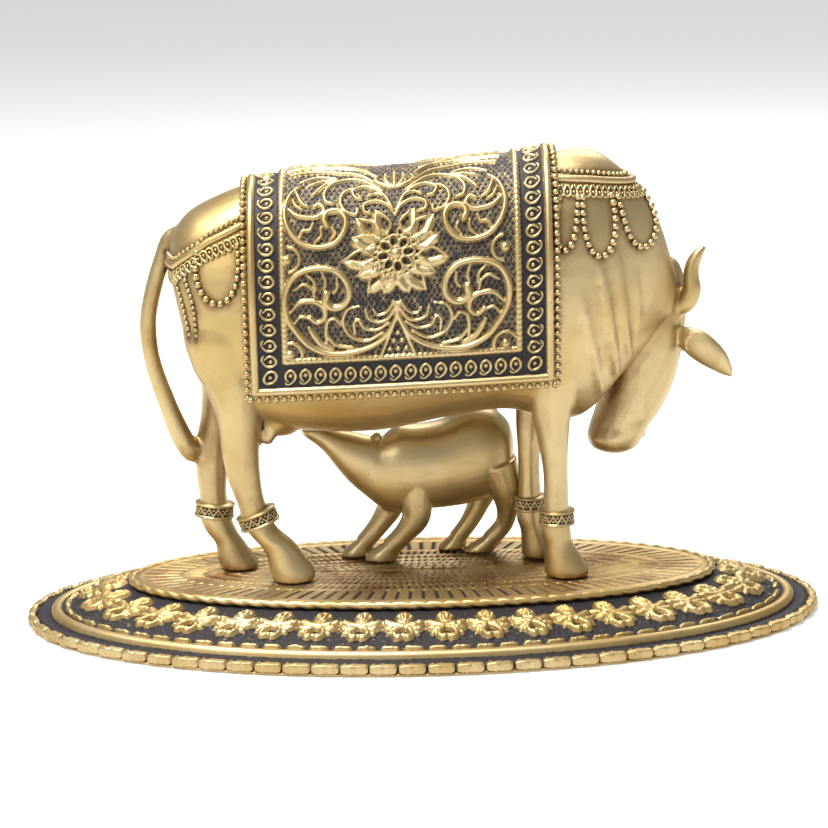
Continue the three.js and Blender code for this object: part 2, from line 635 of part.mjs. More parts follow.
// Each leg of the calf: the bent limb as [x, y, z, radius], then the hoof as level sections.
const CALF_LEGS = [
  {
    limb: [[-1, 8, 42, 6.4], [-1.4, 6.8, 33, 5.6], [-1.6, 6.2, 26, 4.7], [-5.4, 6.2, 20.6, 3.5], [-10, 6.6, 15.8, 3.3]],
    hoof: [[-10, 6.6, 17, 3, 3], [-12.2, 6.8, 14, 5, 3.6], [-13.2, 6.9, HOOF_FOOT, 5.6, 3.9]],
  },
  {
    limb: [[-7, 13, 38, 5.4], [-9.6, 12.8, 28.6, 4.5], [-13.6, 12.4, 22, 3.4], [-19, 12.2, 15.6, 3]],
    hoof: [[-19, 12.2, 16.6, 2.9, 2.9], [-20.8, 12.2, 13.6, 4.6, 3.3], [-21.6, 12.2, HOOF_FOOT, 4.9, 3.5]],
  },
  {
    limb: [[25, 11.5, 42, 7], [28, 11.6, 33, 5.4], [28.4, 12.4, 26, 3.6], [27, 13.6, 20.4, 3], [22.4, 14.4, 15, 2.9]],
    hoof: [[22.6, 14.4, 16, 3, 3], [20.4, 14.6, 13.4, 4.8, 3.4], [19, 14.7, HOOF_FOOT, 5.2, 3.6]],
  },
  {
    limb: [[20, 20, 41, 6], [21, 20, 32, 4.8], [19, 19.4, 26, 3.6], [15.8, 18.8, 20, 3], [11.6, 18.2, 14.8, 2.8]],
    hoof: [[12, 18.2, 15.8, 2.8, 2.8], [10.8, 18, 13.4, 4.2, 3.2], [10, 17.9, HOOF_FOOT, 4.6, 3.4]],
  },
];

const CALF_CLOTH_LIFT = 1.1;
// The cloth's outline seen from the side: x and z of its corners.
const CALF_CLOTH_OUTLINE = [[-5.6, 62], [-5, 56], [2.6, 34], [31, 38.6], [29.4, 58], [24, 66]];

// Vine stems on the near side of the calf's cloth: x and z of both ends.
const CALF_VINES = [[5, 42, 11, 53], [13, 40, 10, 50], [22, 42, 16, 54]];

const calfEar = () => bar([
  [-12.6, 2.4, 49, 1.4], [-13.2, 0.8, 46, 2.8], [-13.8, 0.2, 42.6, 3], [-14, 0.4, 39.4, 2.2], [-13.8, 1, 37.2, 0.7],
], 6, point(0, 1, 0), 0.5);

const calfHorn = () => bar([[-14.6, 7.4, 51, 1.9], [-13, 7.2, 54.2, 0.8]], 5);

const calfTail = () => bar([
  [26, 21, 54, 1.8], [23, 21.6, 58.6, 1.7], [18, 20.6, 61.4, 1.6], [13.6, 19, 61.6, 1.5], [11.4, 18.4, 63.2, 1.5],
  [11.2, 18.2, 66, 1.3],
], 6);

function calf() {
  const body = loft(CALF_BODY.map((station) => bodyRing(station, 10)));
  const lifted = CALF_BODY.slice(0, 8).map(([topX, topZ, bottomX, bottomZ, y, half]) => bodyRing(
    [topX, topZ + CALF_CLOTH_LIFT, bottomX, bottomZ, y, half + CALF_CLOTH_LIFT], 10,
  ));
  const halfDepth = 40;
  const window = loft([-halfDepth, halfDepth].map((y) => CALF_CLOTH_OUTLINE.map(([x, z]) => point(x, y, z))));
  const cloth = loft(lifted).intersect(window);
  const onCloth = surfaceFinder(cloth);
  const borders = [-1, 1].flatMap((side) => [
    ridge(walk(3, (t) => onCloth.flank(mix(-3.4, 2.6, t), mix(52, 36, t), side)), 1.6, 0.7, 1),
    ridge(walk(4, (t) => onCloth.flank(mix(3, 29.2, t), mix(35.6, 39.6, t), side)), 1.6, 0.7, 1),
    ...(side < 0 ? CALF_VINES : []).map(([fromX, fromZ, toX, toZ]) => ridge(
      walk(3, (t) => onCloth.flank(mix(fromX, toX, t) + 2 * Math.sin(2 * Math.PI * t), mix(fromZ, toZ, t), side)),
      1.5, 0.8, 0.5,
    )),
  ]);
  const limbs = CALF_LEGS.map(({ limb }) => bar(limb, 6));
  const hooves = CALF_LEGS.map(({ hoof }) => loft(hoof.map((station) => levelRing(station, 7))));
  return unite([body, cloth, ...limbs, ...hooves, calfEar(), calfHorn(), calfTail(), ...borders]);
}

const statue = new THREE.Group();
statue.add(meshOf(stand(), 'oval_base', agedBrass));
statue.add(meshOf(cow(), 'cow', brass, ANIMAL_SHIFT));
statue.add(meshOf(calf(), 'calf', brass, ANIMAL_SHIFT));

export default statue;
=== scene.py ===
# %% [markdown]
# A cast brass cow stands over her calf on an oval stand. The imported solids come first: they are the
# fixed frame, in metres, that every finer piece here is fitted to.

# %% Load the frame
import json
import math

import bpy
import numpy as np
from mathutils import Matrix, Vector
from mathutils.bvhtree import BVHTree
from mathutils.kdtree import KDTree

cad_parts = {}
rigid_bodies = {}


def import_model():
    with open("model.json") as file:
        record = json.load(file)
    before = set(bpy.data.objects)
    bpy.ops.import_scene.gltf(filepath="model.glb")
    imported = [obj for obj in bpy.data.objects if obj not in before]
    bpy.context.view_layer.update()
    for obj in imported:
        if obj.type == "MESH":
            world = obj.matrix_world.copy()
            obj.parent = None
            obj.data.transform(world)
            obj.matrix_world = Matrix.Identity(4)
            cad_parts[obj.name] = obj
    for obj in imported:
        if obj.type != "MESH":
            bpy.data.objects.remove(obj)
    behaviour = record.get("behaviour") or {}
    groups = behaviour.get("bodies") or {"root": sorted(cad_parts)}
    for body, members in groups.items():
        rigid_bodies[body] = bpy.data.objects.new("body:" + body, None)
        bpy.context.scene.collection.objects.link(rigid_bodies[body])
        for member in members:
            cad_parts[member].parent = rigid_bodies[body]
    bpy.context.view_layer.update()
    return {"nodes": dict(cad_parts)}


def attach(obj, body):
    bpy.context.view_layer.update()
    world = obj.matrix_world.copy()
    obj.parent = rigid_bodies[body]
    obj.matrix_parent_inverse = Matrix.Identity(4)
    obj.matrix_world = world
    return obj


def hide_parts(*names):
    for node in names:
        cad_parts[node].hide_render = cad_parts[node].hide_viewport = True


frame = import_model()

MM = 0.001
print("frame nodes:", sorted(frame["nodes"]))

# %% [markdown]
# The camera stands where the photographer stood: in front of the near flank, a little above the
# statue and far enough away for a long lens. Its picture is turned by a hair, as the photograph is.

# %% Camera
PICTURE = 828
VIEW_ELEVATION = 0.237
VIEW_TURN = 0.012
PICTURE_ROLL = -0.021
VIEW_DISTANCE = 0.881
FOCAL_PIXELS = 2755
SENSOR = 36
AIM = Vector((0, 0.0037, 0.063))
AIM_PIXEL = (418.96, 419.4)


def camera_axes():
    """The camera's right, up and backward directions."""
    right = Vector((math.cos(VIEW_TURN), -math.sin(VIEW_TURN), 0))
    back = Vector((
        -math.cos(VIEW_ELEVATION) * math.sin(VIEW_TURN),
        -math.cos(VIEW_ELEVATION) * math.cos(VIEW_TURN),
        math.sin(VIEW_ELEVATION),
    ))
    up = back.cross(right)
    turned_right = right * math.cos(PICTURE_ROLL) + up * math.sin(PICTURE_ROLL)
    turned_up = up * math.cos(PICTURE_ROLL) - right * math.sin(PICTURE_ROLL)
    return turned_right, turned_up, back


camera_data = bpy.data.cameras.new("camera")
camera_data.sensor_width = SENSOR
camera_data.lens = FOCAL_PIXELS * SENSOR / PICTURE
camera_data.shift_x = (PICTURE / 2 - AIM_PIXEL[0]) / PICTURE
camera_data.shift_y = (AIM_PIXEL[1] - PICTURE / 2) / PICTURE
camera = bpy.data.objects.new("camera", camera_data)
bpy.context.scene.collection.objects.link(camera)
right, up, back = camera_axes()
turn = camera.matrix_world.copy()
for row in range(3):
    turn[row][0], turn[row][1], turn[row][2] = right[row], up[row], back[row]
    turn[row][3] = (AIM + back * VIEW_DISTANCE)[row]
camera.matrix_world = turn
bpy.context.scene.camera = camera
print("lens", round(camera_data.lens, 1), "mm")

# %% [markdown]
# Satin brass shows the room it stands in. A dim, even room, one large soft light high on the left and
# weaker ones on the right and behind give pale tops, golden sides and dark hollows.

# %% Light and floor
world = bpy.data.worlds.new("studio")
world.use_nodes = True
world.node_tree.nodes["Background"].inputs["Color"].default_value = (1, 1, 1, 1)
world.node_tree.nodes["Background"].inputs["Strength"].default_value = 0.38
bpy.context.scene.world = world
bpy.context.scene.view_settings.view_transform = "Standard"


def soft_light(name, place, aim, size, power):
    data = bpy.data.lights.new(name, "AREA")
    data.size = size
    data.energy = power
    lamp = bpy.data.objects.new(name, data)
    lamp.location = place
    lamp.rotation_euler = (Vector(aim) - Vector(place)).to_track_quat("-Z", "Y").to_euler()
    bpy.context.scene.collection.objects.link(lamp)
    return lamp


soft_light("key", (-0.3, -0.2, 1.1), (0, 0, 0.08), 0.6, 24)
soft_light("front", (-0.9, -1.3, 0.8), (0, 0, 0.08), 0.5, 5)
soft_light("rear", (0.2, 0.8, 0.9), (0, 0, 0.08), 0.7, 7)

floor_mesh = bpy.data.meshes.new("floor")
floor_mesh.from_pydata([(-9, -9, 0), (9, -9, 0), (9, 9, 0), (-9, 9, 0)], [], [(0, 1, 2, 3)])
floor = bpy.data.objects.new("floor", floor_mesh)
bpy.context.scene.collection.objects.link(floor)
pale = bpy.data.materials.new("pale_floor")
pale.use_nodes = True
floor_surface = pale.node_tree.nodes["Principled BSDF"].inputs
floor_surface["Base Color"].default_value = (0.6, 0.6, 0.6, 1)
floor_surface["Roughness"].default_value = 0.9
floor_surface["Emission Color"].default_value = (1, 1, 1, 1)
floor_surface["Emission Strength"].default_value = 0.4
floor_mesh.materials.append(pale)

# %% [markdown]
# Materials are written as sums. A small class wraps a node socket, so that an expression such as
# `1 - mask * 2` adds its Math nodes by itself. Every other node comes from one method of the finish.

# %% Shader helpers


class Number:
    """A number socket that can be used in Python expressions."""

    def __init__(self, finish, socket):
        self.finish = finish
        self.socket = socket

    def math(self, operation, *others):
        return Number(self.finish, self.finish.node(
            "ShaderNodeMath", {"operation": operation}, dict(enumerate((self, *others)))))

    def __add__(self, other):
        return self.math("ADD", other)

    __radd__ = __add__

    def __mul__(self, other):
        return self.math("MULTIPLY", other)

    __rmul__ = __mul__

    def __sub__(self, other):
        return self.math("SUBTRACT", other)

    def __rsub__(self, other):
        return (self * -1) + other

    def __truediv__(self, other):
        return self.math("DIVIDE", other)

    def __pow__(self, other):
        return self.math("POWER", other)

    def clamped(self):
        return self.math("MINIMUM", 1).math("MAXIMUM", 0)

    def between(self, low, high):
        """0 below low, 1 above high, smooth in between."""
        share = ((self - low) * (1 / (high - low))).clamped()
        return share * share * (3 - 2 * share)


class Finish:
    """A material under construction."""

    def __init__(self, name):
        self.material = bpy.data.materials.new(name)
        self.material.use_nodes = True
        self.tree = self.material.node_tree
        self.surface = self.tree.nodes["Principled BSDF"]
        self.place = self.node("ShaderNodeTexCoord", output="Object")

    def node(self, kind, settings=None, inputs=None, output=0):
        made = self.tree.nodes.new(kind)
        for key, value in (settings or {}).items():
            setattr(made, key, value)
        for key, value in (inputs or {}).items():
            self.feed(made.inputs[key], value)
        return made.outputs[output]

    def feed(self, socket, value):
        value = value.socket if isinstance(value, Number) else value
        if isinstance(value, bpy.types.NodeSocket):
            self.tree.links.new(value, socket)
        else:
            socket.default_value = value

    def attribute(self, name):
        return Number(self, self.node("ShaderNodeAttribute", {"attribute_name": name}, output="Fac"))

    def noise(self, scale, detail=3, roughness=0.55):
        return Number(self, self.node("ShaderNodeTexNoise", {}, {
            "Vector": self.place, "Scale": scale, "Detail": detail, "Roughness": roughness}, "Fac"))

    def blend(self, first, second, share):
        """A colour between two colours."""
        return self.node("ShaderNodeMix", {"data_type": "RGBA"}, {0: share, 6: first, 7: second}, 2)


# %% [markdown]
# The whole statue is one alloy. What changes is how far it has been rubbed: high places are pale and
# bright, hollows hold an almost black patina, and brown bloom lies in random patches, thicker in hollows.
# Each piece carries two numbers at every vertex: `relief`, from 0 in the deepest hollow to 1 on what
# stands out, and a second number which darkens a place whatever its height, to brown and then black. It
# holds patina beside the ornaments and painted shade under the neck, belly and legs and behind the jaw.

# %% Brass
GOLD_PALE = (0.60, 0.48, 0.26, 1)
GOLD_DEEP = (0.46, 0.32, 0.12, 1)
# The brown and near-black colours below serve real bloom and patina, and also painted shade.
BLOOM_AND_SHADE_BROWN = (0.24, 0.13, 0.05, 1)
PATINA_AND_SHADE_BLACK = (0.018, 0.014, 0.016, 1)


def brass(name, warmth=0.35, bloom=0.35, roughness=0.4, pits=0.35, cut=0.0):
    finish = Finish(name)
    relief = finish.attribute("relief")
    # The second number: patina beside ornaments plus painted shade from blocked sky.
    grime = finish.attribute("grime")
    cloud = finish.noise(26, 4)
    patch = finish.noise(85, 5, 0.62)
    grain = finish.noise(650, 3)
    speck = finish.noise(1300, 2, 0.7)
    gold = finish.blend(GOLD_PALE, GOLD_DEEP, (cloud.between(0.35, 0.7) * 0.7 + warmth * 0.6).clamped())
    # Brown: random bloom patches, more in hollows, plus painted shade from the second number.
    browned = finish.blend(gold, BLOOM_AND_SHADE_BROWN, (
        bloom * patch.between(0.5, 0.68) * (1.3 - relief) + grime * 1.1 * patch.between(0.25, 0.62)
    ).clamped())
    hollow = 1 - (relief + (grain - 0.5) * 0.5 + (patch - 0.5) * 0.25 - cut).between(0.14, 0.56)
    pit = speck.between(0.64, 0.72) * pits * (0.35 + patch.between(0.42, 0.62))
    # Near black: patina in hollows and pits, plus painted shade where the second number is high.
    dark = (hollow + (grime + (grain - 0.5) * 0.5).between(0.55, 1.0) + pit).clamped()
    finish.feed(finish.surface.inputs["Base Color"], finish.blend(browned, PATINA_AND_SHADE_BLACK, dark))
    finish.feed(finish.surface.inputs["Metallic"], 0.92 - dark * 0.6)
    finish.feed(finish.surface.inputs["Roughness"], (
        roughness + dark * 0.2 + (grain - 0.5) * 0.16 + (cloud - 0.5) * 0.1).clamped())
    bump = finish.node("ShaderNodeBump", {}, {
        "Height": grain * 0.5 + speck * 0.5 - pit * 1.5, "Strength": 0.22, "Distance": 0.0002}, "Normal")
    finish.feed(finish.surface.inputs["Normal"], bump)
    return finish.material


BODY_BRASS = brass("body_brass")
CARVED_BRASS = brass("carved_brass", warmth=0.3, bloom=0.3, roughness=0.38, pits=0.5)
STAND_BRASS = brass("stand_brass", warmth=0.6, bloom=0.7, roughness=0.45, pits=0.8)
CALF_BRASS = brass("calf_brass", warmth=0.35, bloom=0.7, pits=0.6)
print("finishes:", [m.name for m in bpy.data.materials])

# %% [markdown]
# Smooth forms are drawn from a few measured sections, as a wax carver would rough them out. A curve
# runs through the sections, rings are laid along it and a skin joins the rings. Sizes are millimetres.

# %% Sections and skins


def smooth_rows(rows, steps):
    """Values between the rows, on a curve through all of them."""
    rows = np.asarray(rows, float)
    ends = np.vstack([2 * rows[0] - rows[1], rows, 2 * rows[-1] - rows[-2]])
    t = np.linspace(0, 1, steps, endpoint=False)[:, None]
    spans = [
        0.5 * (2 * b + (c - a) * t + (2 * a - 5 * b + 4 * c - d) * t**2 + (3 * b - a - 3 * c + d) * t**3)
        for a, b, c, d in zip(ends, ends[1:], ends[2:], ends[3:])
    ]
    return np.vstack([*spans, rows[-1:]])


def round_ring(centre, first, second, sides, power=2.0):
    angle = np.linspace(0, 2 * np.pi, sides, endpoint=False)[:, None]

    def bend(value):
        return np.sign(value) * np.abs(value) ** (2 / power)

    return centre + first * bend(np.cos(angle)) + second * bend(np.sin(angle))


def across_axis(yaw):
    return np.array([math.sin(math.radians(yaw)), -math.cos(math.radians(yaw)), 0])


def upright_rings(stations, steps=6, sides=48, power=2.15):
    """Rings between a top and a bottom point: top x, top z, bottom x, bottom z, y, half-width, yaw."""
    rings = []
    for top_x, top_z, low_x, low_z, y, half, yaw in smooth_rows(stations, steps):
        centre = np.array([(top_x + low_x) / 2, y, (top_z + low_z) / 2])
        upward = np.array([(top_x - low_x) / 2, 0, (top_z - low_z) / 2])
        rings.append(round_ring(centre, upward, across_axis(yaw) * max(half, 0.2), sides, power))
    return rings


def level_rings(stations, yaw=0, steps=6, sides=40):
    """Level rings: x, y, z, half-length, half-width."""
    ahead = np.array([math.cos(math.radians(yaw)), math.sin(math.radians(yaw)), 0])
    return [
        round_ring(np.array([x, y, z]), ahead * front, across_axis(yaw) * side, sides)
        for x, y, z, front, side in smooth_rows(stations, steps)
    ]


def bar_rings(stations, reference=(0, 1, 0), flat=1.0, steps=6, sides=16):
    """Rings square to a path of x, y, z, radius; flat squeezes them along the reference."""
    rows = smooth_rows(stations, steps)
    along = np.gradient(rows[:, :3], axis=0)
    along /= np.linalg.norm(along, axis=1)[:, None]
    rings = []
    for row, direction in zip(rows, along):
        side = np.cross(direction, reference)
        side /= np.linalg.norm(side)
        upward = np.cross(side, direction)
        radius = max(row[3], 0.15)
        rings.append(round_ring(row[:3], side * radius, upward * radius * flat, sides))
    return rings


def skin(rings):
    """Points and faces of a closed skin over the rings."""
    sides = len(rings[0])
    points = np.vstack([*rings, rings[0].mean(0), rings[-1].mean(0)])
    turn_ring = np.roll(np.arange(sides), -1)
    base = np.arange(sides)
    faces = []
    for i in range(len(rings) - 1):
        a = i * sides
        faces += np.stack([a + base, a + turn_ring, a + sides + turn_ring, a + sides + base], 1).tolist()
    last = (len(rings) - 1) * sides
    hub = len(rings) * sides
    faces += [[int(k), hub, int(n)] for k, n in zip(base, turn_ring)]
    faces += [[last + int(n), hub + 1, last + int(k)] for k, n in zip(base, turn_ring)]
    return points, faces


def ball(centre, radii, sides=16):
    """A rounded lump with three half-sizes."""
    rings = []
    for angle in np.linspace(0.08, math.pi - 0.08, sides // 2 + 2):
        middle = np.array(centre) + np.array([0, 0, radii[2] * math.cos(angle)])
        rings.append(round_ring(
            middle, np.array([radii[0] * math.sin(angle), 0, 0]), np.array([0, radii[1] * math.sin(angle), 0]), sides))
    return skin(rings)


# %% [markdown]
# Parts that were cast in one, such as legs and trunk, are merged the way wax is: the skins are joined,
# a fine voxel grid melts them into one surface and a little smoothing rounds the corners where they
# meet. The result is a plain mesh, on which hollows can be measured.

# %% Pieces


def mesh_piece(name, points, faces, finish, slot, shift=(0, 0, 0), **values):
    """A finished piece from points in millimetres, with one number at each vertex for each value."""
    mesh = bpy.data.meshes.new(name)
    mesh.from_pydata(((np.asarray(points) + shift) * MM).tolist(), [], [list(map(int, f)) for f in faces])
    mesh.validate()
    mesh.shade_smooth()
    # relief is how far a place is rubbed; the second number holds patina and painted shade.
    for key in ("relief", "grime"):
        layer = mesh.attributes.new(key, "FLOAT", "POINT")
        layer.data.foreach_set("value", np.broadcast_to(values.get(key, 1.0 if key == "relief" else 0.0),
                                                        len(mesh.vertices)).astype(np.float32).copy())
    mesh.materials.append(finish)
    piece = bpy.data.objects.new(name, mesh)
    bpy.context.scene.collection.objects.link(piece)
    piece["slot_name"] = slot
    return piece


def joined(parts):
    """Several skins as one set of points and faces."""
    points, faces, offset = [], [], 0
    for part_points, part_faces in parts:
        points.append(part_points)
        faces += [[k + offset for k in face] for face in part_faces]
        offset += len(part_points)
    return np.vstack(points), faces


def melt(parts, voxel, rounds):
    """Joins skins into one surface on a voxel grid. Gives its points and faces in millimetres."""
    points, faces = joined(parts)
    mesh = bpy.data.meshes.new("wax")
    mesh.from_pydata(points.tolist(), [], faces)
    wax = bpy.data.objects.new("wax", mesh)
    bpy.context.scene.collection.objects.link(wax)
    grid = wax.modifiers.new("grid", "REMESH")
    grid.mode = "VOXEL"
    grid.voxel_size = voxel
    ease = wax.modifiers.new("ease", "SMOOTH")
    ease.factor = 0.5
    ease.iterations = rounds
    graph = bpy.context.evaluated_depsgraph_get()
    result = bpy.data.meshes.new_from_object(wax.evaluated_get(graph))
    bpy.data.objects.remove(wax)
    found = np.zeros(len(result.vertices) * 3)
    result.vertices.foreach_get("co", found)
    corners = [list(face.vertices) for face in result.polygons]
    return found.reshape(-1, 3), corners


def edges_of(faces):
    quads = np.array([f if len(f) == 4 else [*f, f[-1]] for f in faces])
    pairs = np.vstack([quads[:, [0, 1]], quads[:, [1, 2]], quads[:, [2, 3]], quads[:, [3, 0]]])
    pairs = np.sort(pairs[pairs[:, 0] != pairs[:, 1]], axis=1)
    return np.unique(pairs, axis=0), quads


def vertex_normals(points, quads):
    cross = np.cross(points[quads[:, 2]] - points[quads[:, 0]], points[quads[:, 3]] - points[quads[:, 1]])
    total = np.stack([
        sum(np.bincount(quads[:, k], cross[:, axis], len(points)) for k in range(4)) for axis in range(3)
    ], 1)
    return total / np.maximum(np.linalg.norm(total, axis=1), 1e-12)[:, None]


def hollowness(points, faces, rounds=12):
    """How far the smoothed surface lies above each vertex: positive in hollows, in millimetres."""
    edges, quads = edges_of(faces)
    count = np.bincount(edges.ravel(), minlength=len(points))[:, None]
    eased = points.copy()
    for _ in range(rounds):
        total = np.stack([
            np.bincount(edges[:, 0], eased[edges[:, 1], axis], len(points))
            + np.bincount(edges[:, 1], eased[edges[:, 0], axis], len(points))
            for axis in range(3)
        ], 1)
        eased = (eased + total / np.maximum(count, 1)) / 2
    return ((eased - points) * vertex_normals(points, quads)).sum(1)


def nearness(points, lines, reach):
    """1 along the lines, falling to 0 at the given reach."""
    spots = np.vstack(lines)
    tree = KDTree(len(spots))
    for k, spot in enumerate(spots):
        tree.insert(spot, k)
    tree.balance()
    gaps = np.array([tree.find(point)[2] for point in points])
    return np.clip(1 - gaps / reach, 0, 1)


def finish_piece(piece, *nodes):
    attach(piece, "root")
    if nodes:
        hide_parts(*nodes)
    return piece


# %% [markdown]
# The cow's trunk and neck are one row of sections from the rump to behind the head. The legs, the
# udder and the tail are level sections or bent bars that run into it. The sections are those of the
# solids, with one more in each shank, so both have one outline. Both animals are drawn with their
# hooves at one height and are then shifted together to the top of the stand.

# %% Cow sections
ANIMAL_SHIFT = np.array([0, 3.7, 3.0])
FOOT = 11.7
TRUNK = [
    (-77.3, 117, -75.8, 104, -4, 6, 0), (-75.4, 123.5, -73.4, 92, -4, 13, 0), (-70.5, 129.5, -70.8, 80, -4, 17.8, 0),
    (-62, 134, -65, 70.5, -4, 21.2, 0), (-52, 137.6, -53, 63, -4, 23.3, 0), (-37, 140.2, -37, 59, -4, 24.4, 0),
    (-13, 140.2, -13, 58.4, -4, 25.2, 0), (9, 141.4, 9, 62.3, -4, 25, 0), (27, 143.4, 27, 64.4, -4, 24, 0),
    (41, 145.2, 41, 61.5, -4, 22.6, 0), (50, 146.4, 48.5, 60.8, -4, 20.4, 4), (57.5, 145.2, 54, 63.5, -3.2, 17.8, 10),
    (64.8, 139.4, 57.5, 67.4, -1.8, 15.6, 20), (70, 132.8, 60.3, 71, 0.4, 14, 30),
    (73.6, 124.5, 62.3, 73.6, 3, 12.8, 40), (75.8, 115.5, 64.8, 76.6, 5.8, 12, 48),
    (77.4, 108.2, 68.2, 79.4, 8.2, 11, 55), (77.4, 102.4, 71.6, 83.6, 9.8, 7.5, 60),
]
NEAR_HIND_LEG = [
    (-58, -11, 106, 9, 6), (-59.2, -14.6, 95, 13.8, 11), (-58.6, -15.4, 83, 12.2, 9.6), (-57.6, -15, 75, 9.4, 8),
    (-56.7, -14.2, 66, 7.1, 6.6), (-56.7, -13.6, 55, 6, 5.4), (-55.8, -13.2, 45.5, 5.3, 4.7),
    (-53.9, -13, 37.5, 4.5, 4.2), (-51.2, -13, 29.5, 5, 4.4), (-47.2, -13.2, 25, 5.8, 4.8),
    (-44.4, -13.4, 21.6, 5.8, 4.7), (-41.8, -13.5, 16, 6.9, 5.4), (-41, -13.5, 13.3, 7.2, 5.7), (-41.2, -13.5, FOOT, 6.5, 5.4),
]
FAR_HIND_LEG = [
    (-58, 4, 106, 8, 6), (-61, 8, 95, 12.6, 10), (-61, 8.2, 83, 10.2, 9), (-61.8, 7, 73, 7.8, 7.2),
    (-63.6, 5.2, 63, 6.2, 6), (-66.2, 3.6, 52, 5.8, 5.2), (-66.9, 2.8, 44, 5.1, 4.6), (-66.8, 2.4, 36, 4.5, 4.2),
    (-66.2, 2.3, 28.5, 5.1, 4.5), (-64.2, 2.3, 23.4, 4.9, 4.6), (-62, 2.2, 20.4, 4.7, 4.5), (-60, 2.2, 15.2, 6.2, 5.1),
    (-59, 2.2, 12.9, 6.5, 5.4), (-59, 2.2, FOOT, 5.9, 5.2),
]
NEAR_FORE_LEG = [
    (43, -13.5, 100, 10, 8), (43, -15.4, 86, 10.4, 8.2), (42.4, -15.6, 75, 7.9, 7), (41.5, -15.4, 65, 6.2, 5.7),
    (41.9, -15.3, 56, 4.9, 4.9), (42.6, -15.3, 46, 4, 4.1), (42.7, -15.3, 36, 4, 4.1), (42.5, -15.3, 26.5, 4.8, 4.5),
    (43.4, -15.3, 22.2, 4.7, 4.5), (45.2, -15.3, 16.5, 6.4, 5.4), (45.9, -15.3, 13.2, 7.2, 5.9), (46.2, -15.3, FOOT, 6.5, 5.6),
]
FAR_FORE_LEG = [
    (41, 5, 100, 10, 8), (40, 7.5, 83, 9, 7.6), (37.8, 7.4, 70, 6.6, 6.4), (35.9, 6.8, 57, 4.6, 4.8), (35.4, 6.6, 47, 3.7, 4),
    (35.4, 6.6, 36, 3.6, 3.9), (35.5, 6.6, 25.5, 4.4, 4.3), (36.6, 6.6, 21, 4.3, 4.3), (38.3, 6.6, 16, 5.8, 5.1),
    (38.9, 6.6, 13, 6.4, 5.5), (39, 6.6, FOOT, 5.9, 5.2),
]
TAIL = [
    (-71, -2, 121.4, 3.2), (-76.4, -2, 121, 2.9), (-79.6, -2, 114.5, 2.7), (-83.2, -2, 103.4, 2.7), (-85, -2, 93.2, 2.7),
    (-84, -2, 81.5, 2.7), (-80.4, -1.6, 69, 2.9), (-76.6, -0.8, 58, 3.4), (-73.6, 0.6, 51.8, 3.5), (-71.5, 1.4, 49.2, 2.6),
]
UDDER = [
    (-45, -4, 68, 10, 11), (-44.6, -4, 62.4, 8.6, 10), (-44.2, -4, 58.6, 5.6, 6.6), (-44, -4, 57.2, 2, 3),
]
TEATS = [
    [(-46.6, -10.4, 62, 2.6), (-48, -10.8, 58, 2.4), (-48.6, -11, 55.8, 1.5)],
    [(-47, -1.4, 60, 2.2), (-47.6, -1.2, 56.8, 2.1), (-48, -1.2, 55.2, 1.3)],
]
# %% [markdown]
# Loose skin hangs down the neck in long folds with rounded ends. Each fold is a bar laid on the neck's
# skin, half sunk in it. To find the skin, a ray is sent at it from the side.

# %% Cow body


def skin_finder(points, faces):
    return BVHTree.FromPolygons([tuple(p) for p in points], faces)


def from_side(finder, x, z, side):
    """The place and outward direction where a line from the near (-1) or far (1) side meets the skin."""
    place, normal, _, _ = finder.ray_cast(Vector((x, side * 150, z)), Vector((0, -side, 0)))
    return (None, None) if place is None else (np.array(place), np.array(normal))


def on_side(finder, corners, side, steps=8, lift=0.0):
    """A path over the skin through corners given as x and z."""
    found = [from_side(finder, x, z, side) for x, z in smooth_rows(corners, steps)]
    return np.array([place + normal * lift for place, normal in found if place is not None])


NECK_FOLDS = [
    ([(56, 116), (58, 104), (59.6, 92), (61.2, 82), (62.6, 74.5)], 2.3),
    ([(62, 118), (63.2, 106), (64.2, 95), (65.6, 86), (66.8, 80)], 2.1),
    ([(68, 112), (68.6, 104), (69, 97), (69.6, 91)], 1.6),
    ([(50.5, 106), (52.4, 95), (54.4, 84), (56.8, 73), (57.4, 69)], 2.0),
]

trunk = skin(upright_rings(TRUNK))
trunk_finder = skin_finder(*trunk)
cow_parts = [trunk]
cow_parts += [skin(level_rings(leg)) for leg in (NEAR_HIND_LEG, FAR_HIND_LEG, NEAR_FORE_LEG, FAR_FORE_LEG)]
cow_parts += [skin(bar_rings(TAIL)), skin(level_rings(UDDER))]
cow_parts += [skin(bar_rings(teat)) for teat in TEATS]
for corners, radius in NECK_FOLDS:
    path = on_side(trunk_finder, corners, -1, 5, -0.9)
    swell = np.sin(np.linspace(0.25, math.pi * 0.86, len(path))) ** 0.5 * radius
    cow_parts.append(skin(bar_rings(np.column_stack([path, swell])[::2], steps=3, sides=14)))
body_points, body_faces = melt(cow_parts, 0.85, 5)
print("cow body:", len(body_points), "points")

# %% [markdown]
# A cow's hoof is cloven. The cleft is pressed into the front of each hoof of the melted body.

# %% Hooves
HOOVES = [(-41, -13.5, 7.2), (-59, 2.2, 6.5), (45.9, -15.3, 7.2), (38.9, 6.6, 6.4)]
for hoof_x, hoof_y, length in HOOVES:
    ahead = body_points[:, 0] - hoof_x
    aside = body_points[:, 1] - hoof_y
    low = np.clip((19.5 - body_points[:, 2]) / 3, 0, 1)
    near_hoof = (np.abs(ahead) < length + 2) & (np.abs(aside) < 8)
    press = near_hoof * low * (ahead > 0) * np.exp(-(aside / 0.65) ** 2)
    body_points[:, 0] -= press * 1.5
body_hollow = hollowness(body_points, body_faces)
print("deepest hollow of the body:", round(float(body_hollow.max()), 2), "mm")

# %% [markdown]
# The head hangs down and looks away over the far shoulder, so the photograph shows the jaw and cheek
# from behind. It is melted on a finer grid than the body, because the eyes, lids, nostrils, ears and
# horns are small.

